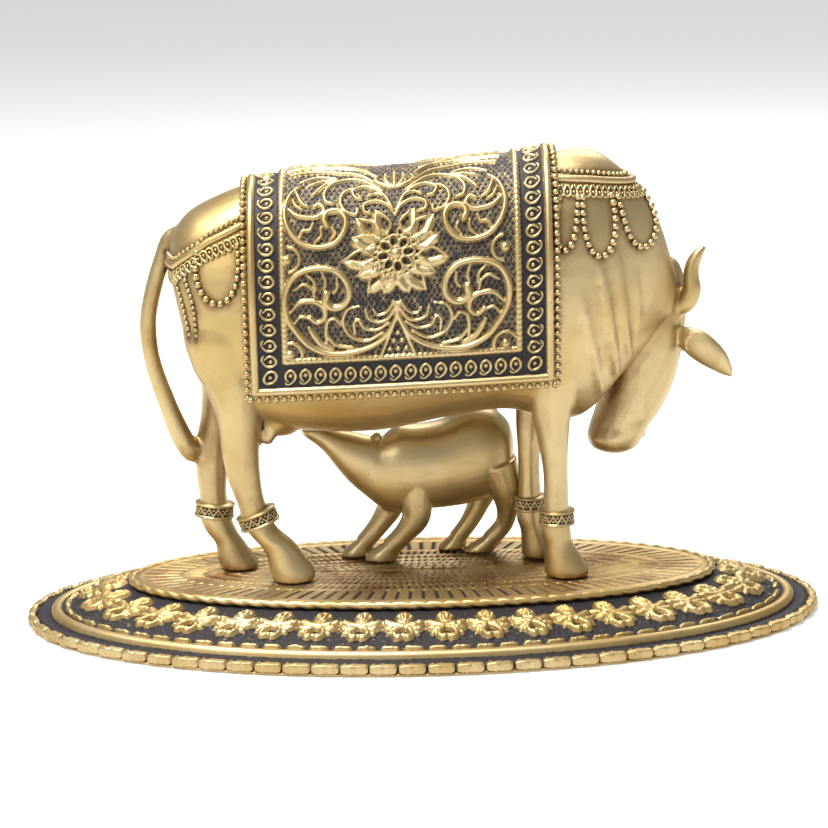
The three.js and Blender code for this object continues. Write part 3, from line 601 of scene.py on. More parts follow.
# %% Cow head
HEAD_YAW = 60
HEAD = [
    (76.8, 12, 109.2, 3.5, 4.5), (76.2, 12, 106.8, 8, 8.2), (75.2, 11.8, 100.5, 11.6, 11.2), (74, 11.4, 92, 13.2, 12.6),
    (73, 11, 83, 13.2, 12.8), (71.8, 10.4, 73, 12.6, 12), (70.1, 9.8, 66, 11.8, 11.4), (67.4, 9.2, 59.4, 10.8, 10.6),
    (65.2, 8.8, 55.4, 9.9, 9.8), (63.5, 8.4, 51.2, 9.7, 8.9), (63.3, 8.2, 48, 7.8, 7.2), (63.6, 8.2, 46, 3.6, 3.4),
]
NEAR_HORN = [
    (80, 7.5, 93, 3.6), (85.4, 4.6, 95, 3.4), (87.6, 3.6, 99.4, 3), (87.4, 3.4, 103.4, 2.6),
    (87.8, 3.4, 107.4, 2.3), (89.6, 3.2, 111, 1.7), (91.6, 3, 113.4, 0.7),
]
FAR_HORN = [
    (67, 15, 93, 3.6), (62.6, 17.6, 95, 3.4), (60.6, 18.8, 99.4, 3), (60.8, 18.8, 103.4, 2.6),
    (60.4, 19.2, 107.4, 2.3), (58.8, 20.4, 111, 1.7), (57, 21.4, 113.4, 0.7),
]
NEAR_EAR = [
    (82, 4.5, 85.4, 2.6), (86.7, 2, 83.6, 4.6), (90.4, 0.4, 81.4, 5.1), (94.8, -0.8, 77.8, 4.3),
    (98.2, -1.4, 74.2, 2.4), (100, -1.6, 72, 0.7),
]
FAR_EAR = [
    (66, 16, 85.4, 2.6), (61.4, 19, 83.6, 4.4), (58.4, 20.6, 81, 4.8), (55.6, 21.8, 77, 4), (54, 22.4, 73.4, 2.2),
    (53.4, 22.6, 71, 0.7),
]
AHEAD = np.array([math.cos(math.radians(HEAD_YAW)), math.sin(math.radians(HEAD_YAW)), 0])
ACROSS = across_axis(HEAD_YAW)


def on_head(z, forward, sideways):
    """A place inside the head at a height, by its distance towards the brow and to one cheek."""
    rows = np.array(HEAD)[::-1]
    centre = np.array([np.interp(z, rows[:, 2], rows[:, axis]) for axis in range(2)] + [z])
    return centre + AHEAD * forward + ACROSS * sideways


head_parts = [skin(level_rings(HEAD, HEAD_YAW, 6, 48))]
head_parts += [skin(bar_rings(horn)) for horn in (NEAR_HORN, FAR_HORN)]
head_parts += [skin(bar_rings(ear, (0.3, 1, 0.2), 0.34, 6, 24)) for ear in (NEAR_EAR, FAR_EAR)]
for cheek in (-1, 1):
    eye = on_head(81, 7.6, 9.8 * cheek)
    head_parts.append(ball(eye, (2.4, 2.4, 2.2)))
    for lid_lift, lid_drop in ((2.3, 3.4), (-2.0, -2.6)):
        lid = [(*(on_head(81 + lift, 7.6 + forward, 9.8 * cheek) + ACROSS * cheek * out), 0.8) for forward, lift, out in (
            (-4.4, -0.6, 0.4), (-1.6, lid_lift, 1.7), (1.6, lid_lift * 0.9, 1.3), (4.2, -1.0, -0.6))]
        head_parts.append(skin(bar_rings(lid, (0, 0, 1), 1.0, 5, 10)))
    nostril = on_head(51, 6.6, 5.2 * cheek)
    head_parts.append(ball(nostril, (2.6, 2.6, 1.9)))
head_points, head_faces = melt(head_parts, 0.5, 3)
for cheek in (-1, 1):
    for centre, reach, depth in ((on_head(50.6, 8.6, 5.6 * cheek), 1.5, 1.5), (on_head(47.6, 4.6, 4.2 * cheek), 1.1, 0.6)):
        gap = np.linalg.norm(head_points - centre, axis=1)
        head_points -= (AHEAD * 0.8 + ACROSS * cheek * 0.6) * (np.exp(-(gap / reach) ** 2) * depth)[:, None]
for ear, outward in ((NEAR_EAR, np.array([0.3, 1, 0.2])), (FAR_EAR, np.array([0.3, 1, 0.2]))):
    line = smooth_rows(ear, 6)[8:-3]
    gap = np.min(np.linalg.norm(head_points[:, None, :] - line[None, :, :3], axis=2) / line[None, :, 3], axis=1)
    facing = ((head_points - line[len(line) // 2, :3]) @ (outward / np.linalg.norm(outward))) > 0
    head_points -= (outward / np.linalg.norm(outward)) * (np.clip(0.9 - gap, 0, 1) * 1.1 * facing)[:, None]
head_hollow = hollowness(head_points, head_faces, 8)
head_finder = skin_finder(head_points, head_faces)
print("cow head:", len(head_points), "points")

# %% [markdown]
# Low carving is drawn on a sheet first. The sheet is a grid of heights in millimetres; a stroke is a
# rounded ridge that swells and thins along a curve, and later strokes keep whatever is already higher.
# The same sheet then says where the patina stays: low cells are black, high ones are rubbed bright.

# %% Relief sheet


class Sheet:
    """A grid of heights over two lengths in millimetres."""

    def __init__(self, width, depth, pitch, ground=None):
        self.pitch = pitch
        self.u = np.arange(width[0], width[1] + pitch / 2, pitch)
        self.v = np.arange(depth[0], depth[1] + pitch / 2, pitch)
        self.height = np.zeros((len(self.u), len(self.v)))
        self.grid_u, self.grid_v = np.meshgrid(self.u, self.v, indexing="ij")
        if ground is not None:
            self.height += ground(self.grid_u, self.grid_v)

    def window(self, u, v, reach):
        i = slice(*np.clip([int((u - reach - self.u[0]) / self.pitch), int((u + reach - self.u[0]) / self.pitch) + 2], 0, len(self.u)))
        j = slice(*np.clip([int((v - reach - self.v[0]) / self.pitch), int((v + reach - self.v[0]) / self.pitch) + 2], 0, len(self.v)))
        return i, j

    def dot(self, u, v, radius, height, base=0.0):
        i, j = self.window(u, v, radius)
        far = ((self.grid_u[i, j] - u) ** 2 + (self.grid_v[i, j] - v) ** 2) / radius**2
        self.height[i, j] = np.where(far < 1, np.maximum(self.height[i, j], base + height * np.sqrt(np.clip(1 - far, 0, 1))), self.height[i, j])

    def hole(self, u, v, radius, depth):
        i, j = self.window(u, v, radius)
        far = ((self.grid_u[i, j] - u) ** 2 + (self.grid_v[i, j] - v) ** 2) / radius**2
        self.height[i, j] -= depth * np.clip(1 - far, 0, 1)

    def stroke(self, corners, width, height, thin=(0.45, 0.45), twist=0.0, base=0.0):
        """A ridge through the corners. thin is its width at both ends as a share; twist gives it strands."""
        rows = smooth_rows(corners, 12) if len(corners) > 2 else np.linspace(corners[0], corners[1], 24)
        steps = np.r_[0, np.cumsum(np.hypot(*np.diff(rows, axis=0).T))]
        count = max(int(steps[-1] / (self.pitch * 0.8)), 2)
        along = np.linspace(0, steps[-1], count)
        swell = np.interp(along / steps[-1], (0, 0.25, 0.75, 1), (thin[0], 1, 1, thin[1]))
        for length, u, v, size in zip(along, np.interp(along, steps, rows[:, 0]), np.interp(along, steps, rows[:, 1]), swell):
            rope = 1 - twist * (0.5 + 0.5 * math.cos(2 * math.pi * length / 1.7)) if twist else 1
            self.dot(u, v, width / 2 * size * (rope if twist else 1), height * (0.6 + 0.4 * size) * rope, base)

    def loop(self, u, v, radius, width, height, start=0, stop=360, stretch=1.0, lean=0):
        """A ring, or a part of one, that may be stretched along its leaning axis."""
        angles = np.radians(np.linspace(start, stop, max(int(abs(stop - start) / 15), 4)))
        local = np.stack([radius * np.cos(angles), radius * stretch * np.sin(angles)], 1)
        c, s = math.cos(math.radians(lean)), math.sin(math.radians(lean))
        self.stroke(np.stack([u + local[:, 0] * c - local[:, 1] * s, v + local[:, 0] * s + local[:, 1] * c], 1), width, height, (1, 1))


def sheet_piece(name, sheet, place, finish, slot, depth=1.2, shift=(0, 0, 0), closed=False, relief=None, grime=0.0):
    """Lays a sheet on a surface. place gives points and outward directions for its two lengths."""
    points, normals = place(sheet.grid_u, sheet.grid_v)
    raised = points + normals * sheet.height[..., None]
    rim = np.zeros(sheet.height.shape, bool)
    rim[0, :] = rim[-1, :] = rim[:, -1] = True
    rim[:, 0] = not closed
    raised = np.where(rim[..., None], points - normals * depth, raised)
    rows, columns = sheet.height.shape
    index = np.arange(rows * columns).reshape(rows, columns)
    faces = np.stack([index[:-1, :-1], index[1:, :-1], index[1:, 1:], index[:-1, 1:]], -1).reshape(-1, 4)
    flat = raised.reshape(-1, 3)
    middle = faces[len(faces) // 2]
    facing = np.cross(flat[middle[1]] - flat[middle[0]], flat[middle[3]] - flat[middle[0]])
    if facing @ normals.reshape(-1, 3)[middle[0]] < 0:
        faces = faces[:, ::-1]
    high = relief if relief is not None else np.clip(sheet.height / 1.0, 0, 1)
    return mesh_piece(name, flat, faces, finish, slot, shift, relief=high.reshape(-1), grime=grime)


# %% [markdown]
# The saddle cloth hangs over the spine. Its section is a quarter oval over each shoulder of the back
# and a straight skirt below it, and it is measured along its own surface from the spine to the hem, so
# that ornaments keep their shape wherever they sit.

# %% Cloth surface
CLOTH_REAR, CLOTH_FRONT = -52.0, 42.0
CLOTH_DEPTH = 80.0
SPINE = [(-52, 139.2), (-36, 141.8), (-12, 141.9), (12, 143.3), (28, 145.2), (42, 147.3)]
MIDDLE_Y = -4.0


def cloth_section(x, count=220):
    """The cloth's section at one place along the cow: distance out and height, and the length along it."""
    share = (x - CLOTH_REAR) / (CLOTH_FRONT - CLOTH_REAR)
    top = np.interp(x, *np.array(SPINE).T)
    hem, waist = 75 + 2.5 * share, 103 + 4 * share
    half = 25 - 0.8 * share + 1.9 * math.cos(math.pi * (x + 8) / 100)
    angle = np.linspace(0, math.pi / 2, count)
    drop = np.linspace(0, 1, count // 2)[1:]
    out = np.r_[half * np.sin(angle) ** 0.93, half - 1.4 * drop]
    height = np.r_[waist + (top - waist) * np.cos(angle) ** 0.93, waist + (hem - waist) * drop]
    return out, height, np.r_[0, np.cumsum(np.hypot(np.diff(out), np.diff(height)))]


def cloth_place(side):
    """Points and outward directions of one flank of the cloth."""

    def place(grid_u, grid_v):
        points = np.zeros((*grid_u.shape, 3))
        for i, x in enumerate(grid_u[:, 0]):
            out, height, length = cloth_section(x)
            share = grid_v[i] / CLOTH_DEPTH * length[-1]
            points[i] = np.stack([
                np.full(len(share), x), MIDDLE_Y + side * np.interp(share, length, out), np.interp(share, length, height),
            ], 1)
        normals = np.cross(np.gradient(points, axis=0), np.gradient(points, axis=1))
        normals /= np.linalg.norm(normals, axis=2)[..., None]
        return points, normals * (1 if side < 0 else -1) * np.sign(normals[-1, -1, 1]) * -1

    return place


print("cloth length over one flank:", round(float(cloth_section(0)[2][-1]), 1), "mm")

# %% [markdown]
# The pattern of the cloth: two cords around the edge with a row of curled drops between them, and
# inside them a field with a flower, four wide C-scrolls, sprays of looped leaves and a small
# beaded triangle. One half is drawn and its mirror image laid beside it.

# %% Cloth pattern
FIELD_MIDDLE = -6.3
BAND = 11.0
C_SCROLLS = [
    ([(-35, 13.5), (-38.5, 17), (-40, 23), (-38.5, 28.5), (-35, 32.5), (-30, 34), (-25, 33), (-22, 29.5), (-21.5, 25.6),
      (-23.6, 23), (-26.8, 23.3), (-28, 25.6), (-27.2, 27.4)], 2.0, (0.5, 1.2)),
    ([(-5.8, 52), (-7, 57), (-10, 62), (-14, 65), (-20, 66.8), (-27, 67), (-33, 64.5), (-37, 60), (-40, 54.5), (-40.6, 48.5),
      (-38.5, 43.6), (-34.5, 41), (-29, 40.4), (-24.5, 41.6), (-21.5, 45), (-21, 49), (-23, 52), (-26, 52.6), (-28, 50.6),
      (-27.8, 48.2)], 2.2, (0.6, 1.2)),
]
FRONDS = [
    ([(-39.5, 20.5), (-36.5, 23.6), (-33, 24.6), (-30, 24.5), (-28, 22.5), (-29.4, 20.4), (-31, 21.2)], 1.7),
    ([(-36.6, 14), (-36, 17), (-34.5, 20), (-32.8, 21)], 1.1), ([(-37.6, 18), (-36.6, 20.4), (-34.6, 22)], 1.0),
    ([(-35.6, 31.8), (-34.6, 28.8), (-32.4, 28.6), (-31.4, 26.6)], 1.2), ([(-31, 32.6), (-29, 30.6), (-29, 28)], 1.2),
    ([(-26.6, 32.4), (-25, 30.2), (-25.5, 28.4)], 1.1),
    ([(-35, 11.5), (-29.5, 9.8), (-24, 11), (-28, 13.6), (-31.5, 17.4)], 1.3), ([(-33, 13.5), (-29, 12), (-25, 11.4)], 1.0),
    ([(-39, 53.4), (-36, 50.6), (-32, 50.4), (-29, 52), (-28.4, 55), (-30.6, 57), (-33, 55.4)], 1.8),
    ([(-37.6, 46.6), (-34.5, 45), (-32, 46.6), (-31.4, 49)], 1.2), ([(-33.6, 42.2), (-31.5, 44.2), (-31, 47)], 1.2),
    ([(-29, 41.6), (-28, 44.2), (-28.5, 47)], 1.2), ([(-38, 57.2), (-36, 55), (-33.6, 55.4)], 1.1),
    ([(-24.6, 43.4), (-24.4, 46.2), (-25.6, 48)], 1.1),
    ([(-33.4, 58.6), (-31.8, 61.2), (-29.8, 63.8), (-26.6, 65.4)], 2.2),
    ([(-28, 64.2), (-28.2, 60), (-27.6, 56.8), (-25.2, 56), (-23.8, 57.8)], 1.3),
    ([(-28, 61), (-25, 64.4), (-20, 65.4)], 1.3),
    ([(-17.8, 52.4), (-21.5, 53.4), (-23, 57), (-21, 61.4), (-16, 63.4), (-11, 61)], 1.3),
    ([(-19.4, 61.2), (-19.6, 57.6), (-18, 56.8), (-16.4, 59.4), (-12.6, 60), (-9, 58)], 1.2),
    ([(-16, 53.4), (-15, 56.4), (-12, 57.6), (-9, 56.4), (-6.6, 52.4)], 1.3),
    ([(-13.6, 53.6), (-12.2, 55.4), (-9.6, 54.6), (-7.4, 51.4)], 1.0),
    ([(-6.3, 25), (-8.5, 21.6), (-12, 20), (-15.5, 21), (-15.6, 23.4), (-13.8, 24)], 1.3),
    ([(-6.5, 23.4), (-10, 17.6), (-15, 14.6), (-19, 16), (-18.2, 18.6), (-16.4, 19)], 1.3),
    ([(-15, 14.6), (-21, 16), (-23, 19.6), (-21.5, 23), (-18.2, 24.2), (-17.8, 22.4)], 1.2),
    ([(-9.6, 16.4), (-17, 11.6), (-24, 12.2), (-27.6, 16), (-27.4, 19.4), (-25.2, 20.4)], 1.3),
    ([(-8, 19), (-12, 17.4), (-14.6, 18.4)], 0.9), ([(-12, 13), (-17, 9), (-23, 7.4), (-30, 6.4), (-38, 7.6)], 1.2),
    ([(-14, 6), (-22, 3.6), (-30, 3), (-39, 4)], 1.1), ([(-12, 9.6), (-17, 5.4), (-24, 1)], 1.0),
]
LEAVES = [(186, 16.5), (207, 13.5), (232, 14.5), (252, 12.5), (158, 14.5), (136, 16.5), (113, 15)]


def drop_row(sheet, place_at, count, width, tip=1):
    """A row of curled drops along a band. place_at gives a middle and a direction for each share."""
    for k in range(count):
        (u, v), (du, dv) = place_at((k + 0.5) / count)
        across = np.array([-dv, du]) * tip
        along = np.array([du, dv])
        middle = np.array([u, v])

        def at(a, b):
            return tuple(middle + along * a * width + across * b)

        sheet.stroke([at(-0.05, 2.5), at(0.28, 1.2), at(0.36, -0.6), at(0.1, -2.0), at(-0.24, -1.2), at(-0.3, 0.4), at(-0.12, 1.6)],
                     0.95, 0.85, (0.6, 0.6))
        sheet.stroke([at(-0.05, 2.5), at(-0.26, 2.3), at(-0.36, 1.6)], 0.75, 0.7)
        sheet.dot(*at(0.04, -0.3), 0.75, 0.75)


def cloth_ground(u, v):
    """A fine net of small rings over the field."""
    pitch = 1.75
    row = np.round(v / (pitch * 0.87))
    shifted = u + (row % 2) * pitch / 2
    gap = np.hypot(shifted - np.round(shifted / pitch) * pitch, v - row * pitch * 0.87)
    inside = (u > CLOTH_REAR + 12) & (u < CLOTH_FRONT - 12) & (v < CLOTH_DEPTH - 12)
    return inside * 0.34 * np.exp(-((gap - 0.68) / 0.24) ** 2)


def cloth_sheet(pitch):
    sheet = Sheet((CLOTH_REAR, CLOTH_FRONT), (0, CLOTH_DEPTH), pitch, cloth_ground)
    hem = CLOTH_DEPTH
    for u in (CLOTH_REAR + 1.4, CLOTH_FRONT - 1.4):
        sheet.stroke([(u, -2), (u, hem - 1.4)], 2.6, 1.25, (1, 1))
    sheet.stroke([(CLOTH_REAR + 1.4, hem - 1.4), (CLOTH_FRONT - 1.4, hem - 1.4)], 2.6, 1.25, (1, 1))
    for u in (CLOTH_REAR + BAND, CLOTH_FRONT - BAND):
        sheet.stroke([(u, -2), (u, hem - BAND)], 2.3, 1.15, (1, 1), 0.16)
    sheet.stroke([(CLOTH_REAR + BAND, hem - BAND), (CLOTH_FRONT - BAND, hem - BAND)], 2.3, 1.15, (1, 1), 0.16)
    middle = 6.2
    drop_row(sheet, lambda t: ((CLOTH_REAR + middle, t * (hem - 9)), (0, 1)), 14, 5.0, 1)
    drop_row(sheet, lambda t: ((CLOTH_FRONT - middle, t * (hem - 9)), (0, 1)), 14, 5.0, -1)
    drop_row(sheet, lambda t: ((CLOTH_REAR + 10 + t * (CLOTH_FRONT - CLOTH_REAR - 20), hem - middle), (1, 0)), 16, 4.6, 1)
    for corner in (CLOTH_REAR + 6.2, CLOTH_FRONT - 6.2):
        sheet.loop(corner, hem - 6.2, 1.7, 0.95, 0.85, stretch=1.3, lean=45)
        sheet.dot(corner, hem - 6.2, 0.7, 0.75)
    for mirror in (1, -1):

        def flip(corners):
            return [(FIELD_MIDDLE + (u - FIELD_MIDDLE) * mirror, v) for u, v in corners]

        for corners, width, thin in C_SCROLLS:
            sheet.stroke(flip(corners), width, 1.75, thin)
        for corners, width in FRONDS:
            sheet.stroke(flip(corners), width, 1.3, (0.5, 0.95))
        ring = flip([(-39.6, 37.2)])[0]
        facing = (-80, 80) if mirror > 0 else (100, 260)
        sheet.loop(*ring, 3.9, 1.2, 1.15, *facing)
        sheet.dot(*ring, 1.6, 1.7)
        corner = flip([(-39.4, 66.8)])[0]
        facing = (-95, 10) if mirror > 0 else (150, 330)
        sheet.loop(*corner, 3.7, 1.3, 1.15, *facing)
        sheet.dot(*corner, 1.5, 1.6)
        for angle, reach in LEAVES:
            turned = math.radians(angle)
            tip = (FIELD_MIDDLE + mirror * reach * math.cos(turned), 37 - reach * math.sin(turned))
            root = (FIELD_MIDDLE + mirror * 6.4 * math.cos(turned), 37 - 6.4 * math.sin(turned))
            bow = math.radians(angle + 12)
            knee = (FIELD_MIDDLE + mirror * reach * 0.62 * math.cos(bow), 37 - reach * 0.62 * math.sin(bow))
            sheet.stroke([root, knee, tip], 3.4, 1.5, (0.35, 0.12))
            for part in (-14, 12):
                bow = math.radians(angle + part)
                knee = (FIELD_MIDDLE + mirror * reach * 0.66 * math.cos(bow), 37 - reach * 0.66 * math.sin(bow))
                sheet.stroke([root, knee, tip], 1.1, 1.75, (0.7, 0.3))
        sheet.stroke(flip([(-6.3, 56), (-9, 62.2), (-11.6, 68.4)]), 1.2, 1.3, (1, 1))
    for k in range(8):
        turned = math.radians(45 * k + 8)
        u, v = FIELD_MIDDLE + 3.9 * math.cos(turned), 37 - 3.9 * math.sin(turned)
        sheet.loop(u, v, 1.35, 1.0, 1.9, stretch=1.35, lean=-math.degrees(turned) + 90)
        u, v = FIELD_MIDDLE + 6.9 * math.cos(turned + 0.39), 37 - 6.9 * math.sin(turned + 0.39)
        sheet.loop(u, v, 1.1, 0.95, 1.5, stretch=1.25, lean=-math.degrees(turned + 0.39) + 90)
    sheet.dot(FIELD_MIDDLE, 37, 2.0, 2.3)
    for row, count in enumerate((1, 2, 3)):
        for k in range(count):
            sheet.dot(FIELD_MIDDLE + (k - (count - 1) / 2) * 2.5, 61.4 + 2.5 * row, 0.8, 1.2)
    sheet.stroke([(FIELD_MIDDLE - 5.6, 69), (FIELD_MIDDLE + 5.6, 69)], 1.2, 1.3, (1, 1))
    for k in range(-2, 3):
        lean = 0.32 * k
        sheet.stroke([(FIELD_MIDDLE + 0.6 * k, 15.4), (FIELD_MIDDLE + 2.8 * k, 11.6 + abs(k) * 0.4),
                      (FIELD_MIDDLE + 2.2 * k + lean, 7.6 + abs(k))], 1.7, 1.3 + 0.2 * (k == 0), (0.5, 0.5))
    return sheet


near_sheet = cloth_sheet(0.3)
print("cloth sheet:", near_sheet.height.shape, "cells")
CLOTH_SLOT = "brass"
near_cloth = finish_piece(sheet_piece("cloth_near", near_sheet, cloth_place(-1), CARVED_BRASS, CLOTH_SLOT, 1.6, ANIMAL_SHIFT, closed=True), "cow")
far_sheet = cloth_sheet(0.42)
far_cloth = finish_piece(sheet_piece("cloth_far", far_sheet, cloth_place(1), CARVED_BRASS, CLOTH_SLOT, 1.6, ANIMAL_SHIFT, closed=True))

# %% [markdown]
# Beads, studs, blocks and leaves repeat along a line. One Geometry Nodes tree does it for all of them:
# the line is divided into equal steps, a copy of the shape is set on each step, turned to the
# surface and along the line, and the copies are made real.

# %% Rows of copies


def row_tree():
    tree = bpy.data.node_groups.new("row_of_copies", "GeometryNodeTree")
    sockets = {}
    for name, kind in (("Geometry", "Geometry"), ("Shape", "Object"), ("Spacing", "Float"), ("Size", "Float"),
                       ("Variation", "Float"), ("Seed", "Int"), ("Finish", "Material")):
        sockets[name] = tree.interface.new_socket(name, in_out="INPUT", socket_type="NodeSocket" + kind)
    tree.interface.new_socket("Geometry", in_out="OUTPUT", socket_type="NodeSocketGeometry")

    def node(kind, inputs=None, **settings):
        made = tree.nodes.new(kind)
        for key, value in settings.items():
            setattr(made, key, value)
        for key, value in (inputs or {}).items():
            if isinstance(value, bpy.types.NodeSocket):
                tree.links.new(value, made.inputs[key])
            else:
                made.inputs[key].default_value = value
        return made

    given = node("NodeGroupInput").outputs
    line = node("GeometryNodeMeshToCurve", {"Mesh": given["Geometry"]}).outputs[0]
    stepped = node("GeometryNodeResampleCurve", {"Curve": line, "Length": given["Spacing"]}, mode="LENGTH").outputs[0]
    facing = node("GeometryNodeInputNamedAttribute", {"Name": "facing"}, data_type="FLOAT_VECTOR").outputs[0]
    upright = node("FunctionNodeAlignRotationToVector", {"Vector": facing}, axis="Z")
    along = node("FunctionNodeAlignRotationToVector", {
        "Rotation": upright.outputs[0], "Vector": node("GeometryNodeInputTangent").outputs[0]}, axis="X", pivot_axis="Z")
    spread = node("FunctionNodeRandomValue", {"Seed": given["Seed"]}, data_type="FLOAT")
    low = node("ShaderNodeMath", {0: 1.0, 1: given["Variation"]}, operation="SUBTRACT").outputs[0]
    high = node("ShaderNodeMath", {0: 1.0, 1: given["Variation"]}, operation="ADD").outputs[0]
    tree.links.new(low, spread.inputs[2])
    tree.links.new(high, spread.inputs[3])
    size = node("ShaderNodeMath", {0: spread.outputs[1], 1: given["Size"]}, operation="MULTIPLY").outputs[0]
    shape = node("GeometryNodeObjectInfo", {"Object": given["Shape"]}).outputs["Geometry"]
    copies = node("GeometryNodeInstanceOnPoints", {
        "Points": stepped, "Instance": shape, "Rotation": along.outputs[0], "Scale": size}).outputs[0]
    real = node("GeometryNodeRealizeInstances", {"Geometry": copies}).outputs[0]
    painted = node("GeometryNodeSetMaterial", {"Geometry": real, "Material": given["Finish"]}).outputs[0]
    node("NodeGroupOutput", {"Geometry": painted})
    return tree, {name: socket.identifier for name, socket in sockets.items()}


ROW_TREE, ROW_INPUTS = row_tree()


def row_of(name, shape, paths, spacing, size, finish, slot, variation=0.06, seed=1, shift=(0, 0, 0)):
    """Copies of a shape along paths. A path is its points and their outward directions, in millimetres."""
    points, edges, facing = [], [], []
    for line, outward, ring in paths:
        first = len(points)
        points += ((np.asarray(line) + shift) * MM).tolist()
        facing += np.asarray(outward).tolist()
        edges += [(first + k, first + k + 1) for k in range(len(line) - 1)]
        if ring:
            edges.append((len(points) - 1, first))
    mesh = bpy.data.meshes.new(name + "_line")
    mesh.from_pydata(points, edges, [])
    layer = mesh.attributes.new("facing", "FLOAT_VECTOR", "POINT")
    layer.data.foreach_set("vector", np.asarray(facing, np.float32).ravel())
    line = bpy.data.objects.new(name + "_line", mesh)
    bpy.context.scene.collection.objects.link(line)
    rule = line.modifiers.new("row", "NODES")
    rule.node_group = ROW_TREE
    for key, value in (("Shape", shape), ("Spacing", spacing * MM), ("Size", size), ("Variation", variation), ("Seed", seed),
                       ("Finish", finish)):
        rule[ROW_INPUTS[key]] = value
    graph = bpy.context.evaluated_depsgraph_get()
    made = bpy.data.meshes.new_from_object(line.evaluated_get(graph))
    made.name = name
    bpy.data.objects.remove(line)
    piece = bpy.data.objects.new(name, made)
    bpy.context.scene.collection.objects.link(piece)
    piece["slot_name"] = slot
    print(name, len(made.polygons), "faces")
    return piece


def hidden_shape(name, points, faces, relief=1.0):
    """A shape for the rows: it is centred on the origin and is never shown itself."""
    shape = mesh_piece(name, points, faces, BODY_BRASS, "brass", relief=relief)
    bpy.context.scene.collection.objects.unlink(shape)
    bpy.data.collections.new(name + "_store").objects.link(shape)
    return shape


def bead_shape(name, radii, sides=8):
    points, faces = ball((0, 0, 0), radii, sides)
    return hidden_shape(name, points, faces, np.clip(0.45 + points[:, 2] / radii[2] * 0.9, 0, 1))


def loop_shape():
    """A pointed drop: a ring drawn out to a tip, with a grain in the middle."""
    turns = np.linspace(0, 2 * np.pi, 14)
    ring = [(0.95 * math.sin(t) * (1 - 0.35 * max(math.cos(t), 0)), 1.25 * math.cos(t) + 0.55 * max(math.cos(t), 0) ** 3, 0.15, 0.36)
            for t in turns]
    parts = [skin(bar_rings(ring, (0, 0, 1), 1.0, 1, 6)), ball((0, -0.1, 0.1), (0.36, 0.6, 0.35), 6)]
    points, faces = joined(parts)
    return hidden_shape("loop", points, faces, np.clip(0.55 + points[:, 2], 0, 1))


BEAD = bead_shape("bead", (1.0, 1.0, 1.0))
LOOP = loop_shape()
print("bead:", len(BEAD.data.polygons), "faces; loop:", len(LOOP.data.polygons), "faces")

# %% [markdown]
# Straps, swags and collars go round the body. Their paths are found by sending level lines at the skin
# from all round, at a height that may change with the direction.

# %% Paths round the body
CHEST, RUMP = (52, -4), (-58, -4)


def bearing_at(finder, centre, x, z, side):
    place, _ = from_side(finder, x, z, side)
    angle = math.degrees(math.atan2(place[1] - centre[1], place[0] - centre[0]))
    return angle % 360 if centre is RUMP else angle


def belt(finder, centre, bearings, heights, lift=0.0):
    """Places and outward directions where level lines from these bearings first meet the skin."""
    line, outward = [], []
    for bearing, z in zip(np.radians(bearings), heights):
        out = Vector((math.cos(bearing), math.sin(bearing), 0))
        place, normal, _, _ = finder.ray_cast(Vector((*centre, z)) + out * 120, -out)
        if place is not None:
            line.append(place + normal * lift)
            outward.append(normal)
    return np.array(line), np.array(outward)


def strap(keys, centre, drop=0.0, lift=0.0, steps=30):
    """A level path through keys of x, z and side, lowered by drop."""
    bearings = [bearing_at(trunk_finder, centre, *key) for key in keys]
    heights = [key[1] - drop for key in keys]
    fine = np.linspace(0, len(keys) - 1, steps * (len(keys) - 1))
    return belt(trunk_finder, centre, np.interp(fine, range(len(keys)), bearings), np.interp(fine, range(len(keys)), heights), lift)


def swag(x_from, x_to, z, drop, side, centre, lift=0.35, steps=44):
    """A hanging string of beads shaped like a U."""
    turn = np.linspace(0, math.pi, steps)
    middle, half = (x_from + x_to) / 2, (x_to - x_from) / 2
    bearings = [bearing_at(trunk_finder, centre, middle - half * math.cos(t), z - 4, side) for t in turn]
    return belt(trunk_finder, centre, bearings, z - drop * np.sin(turn) ** 0.75, lift)


def cord(path, radius, sides=10):
    """A round bar along a path of places."""
    line = np.asarray(path)
    return skin(bar_rings(np.column_stack([line, np.full(len(line), radius)]), (0.01, 0.02, 1), 1.0, 1, sides))


# %% [markdown]
# The chest harness: a row of fine beads, a round cord and a row of pointed loops from cloth to cloth
# round the front of the neck, and swags of larger beads that hang from it. The rump has the same in
# short, passing under the root of the tail.

# %% Harness
CHEST_KEYS = [(41, 139.2, -1), (54, 138.4, -1), (66.5, 136.6, -1), (63, 136.6, 1), (52, 138.4, 1), (41, 139.2, 1)]
RUMP_KEYS = [(-51, 128.4, -1), (-64, 122.4, -1), (-74.6, 114.6, -1), (-74.6, 114.6, 1), (-64, 122.4, 1), (-51, 128.4, 1)]
NEAR_SWAGS = [(43.2, 49.6, 133.6, 15.5), (51.2, 61.2, 133.4, 18), (63.4, 73.4, 132.6, 16)]
FAR_SWAGS = [(43.2, 49.6, 133.6, 15.5), (51.2, 60.2, 133.4, 18)]

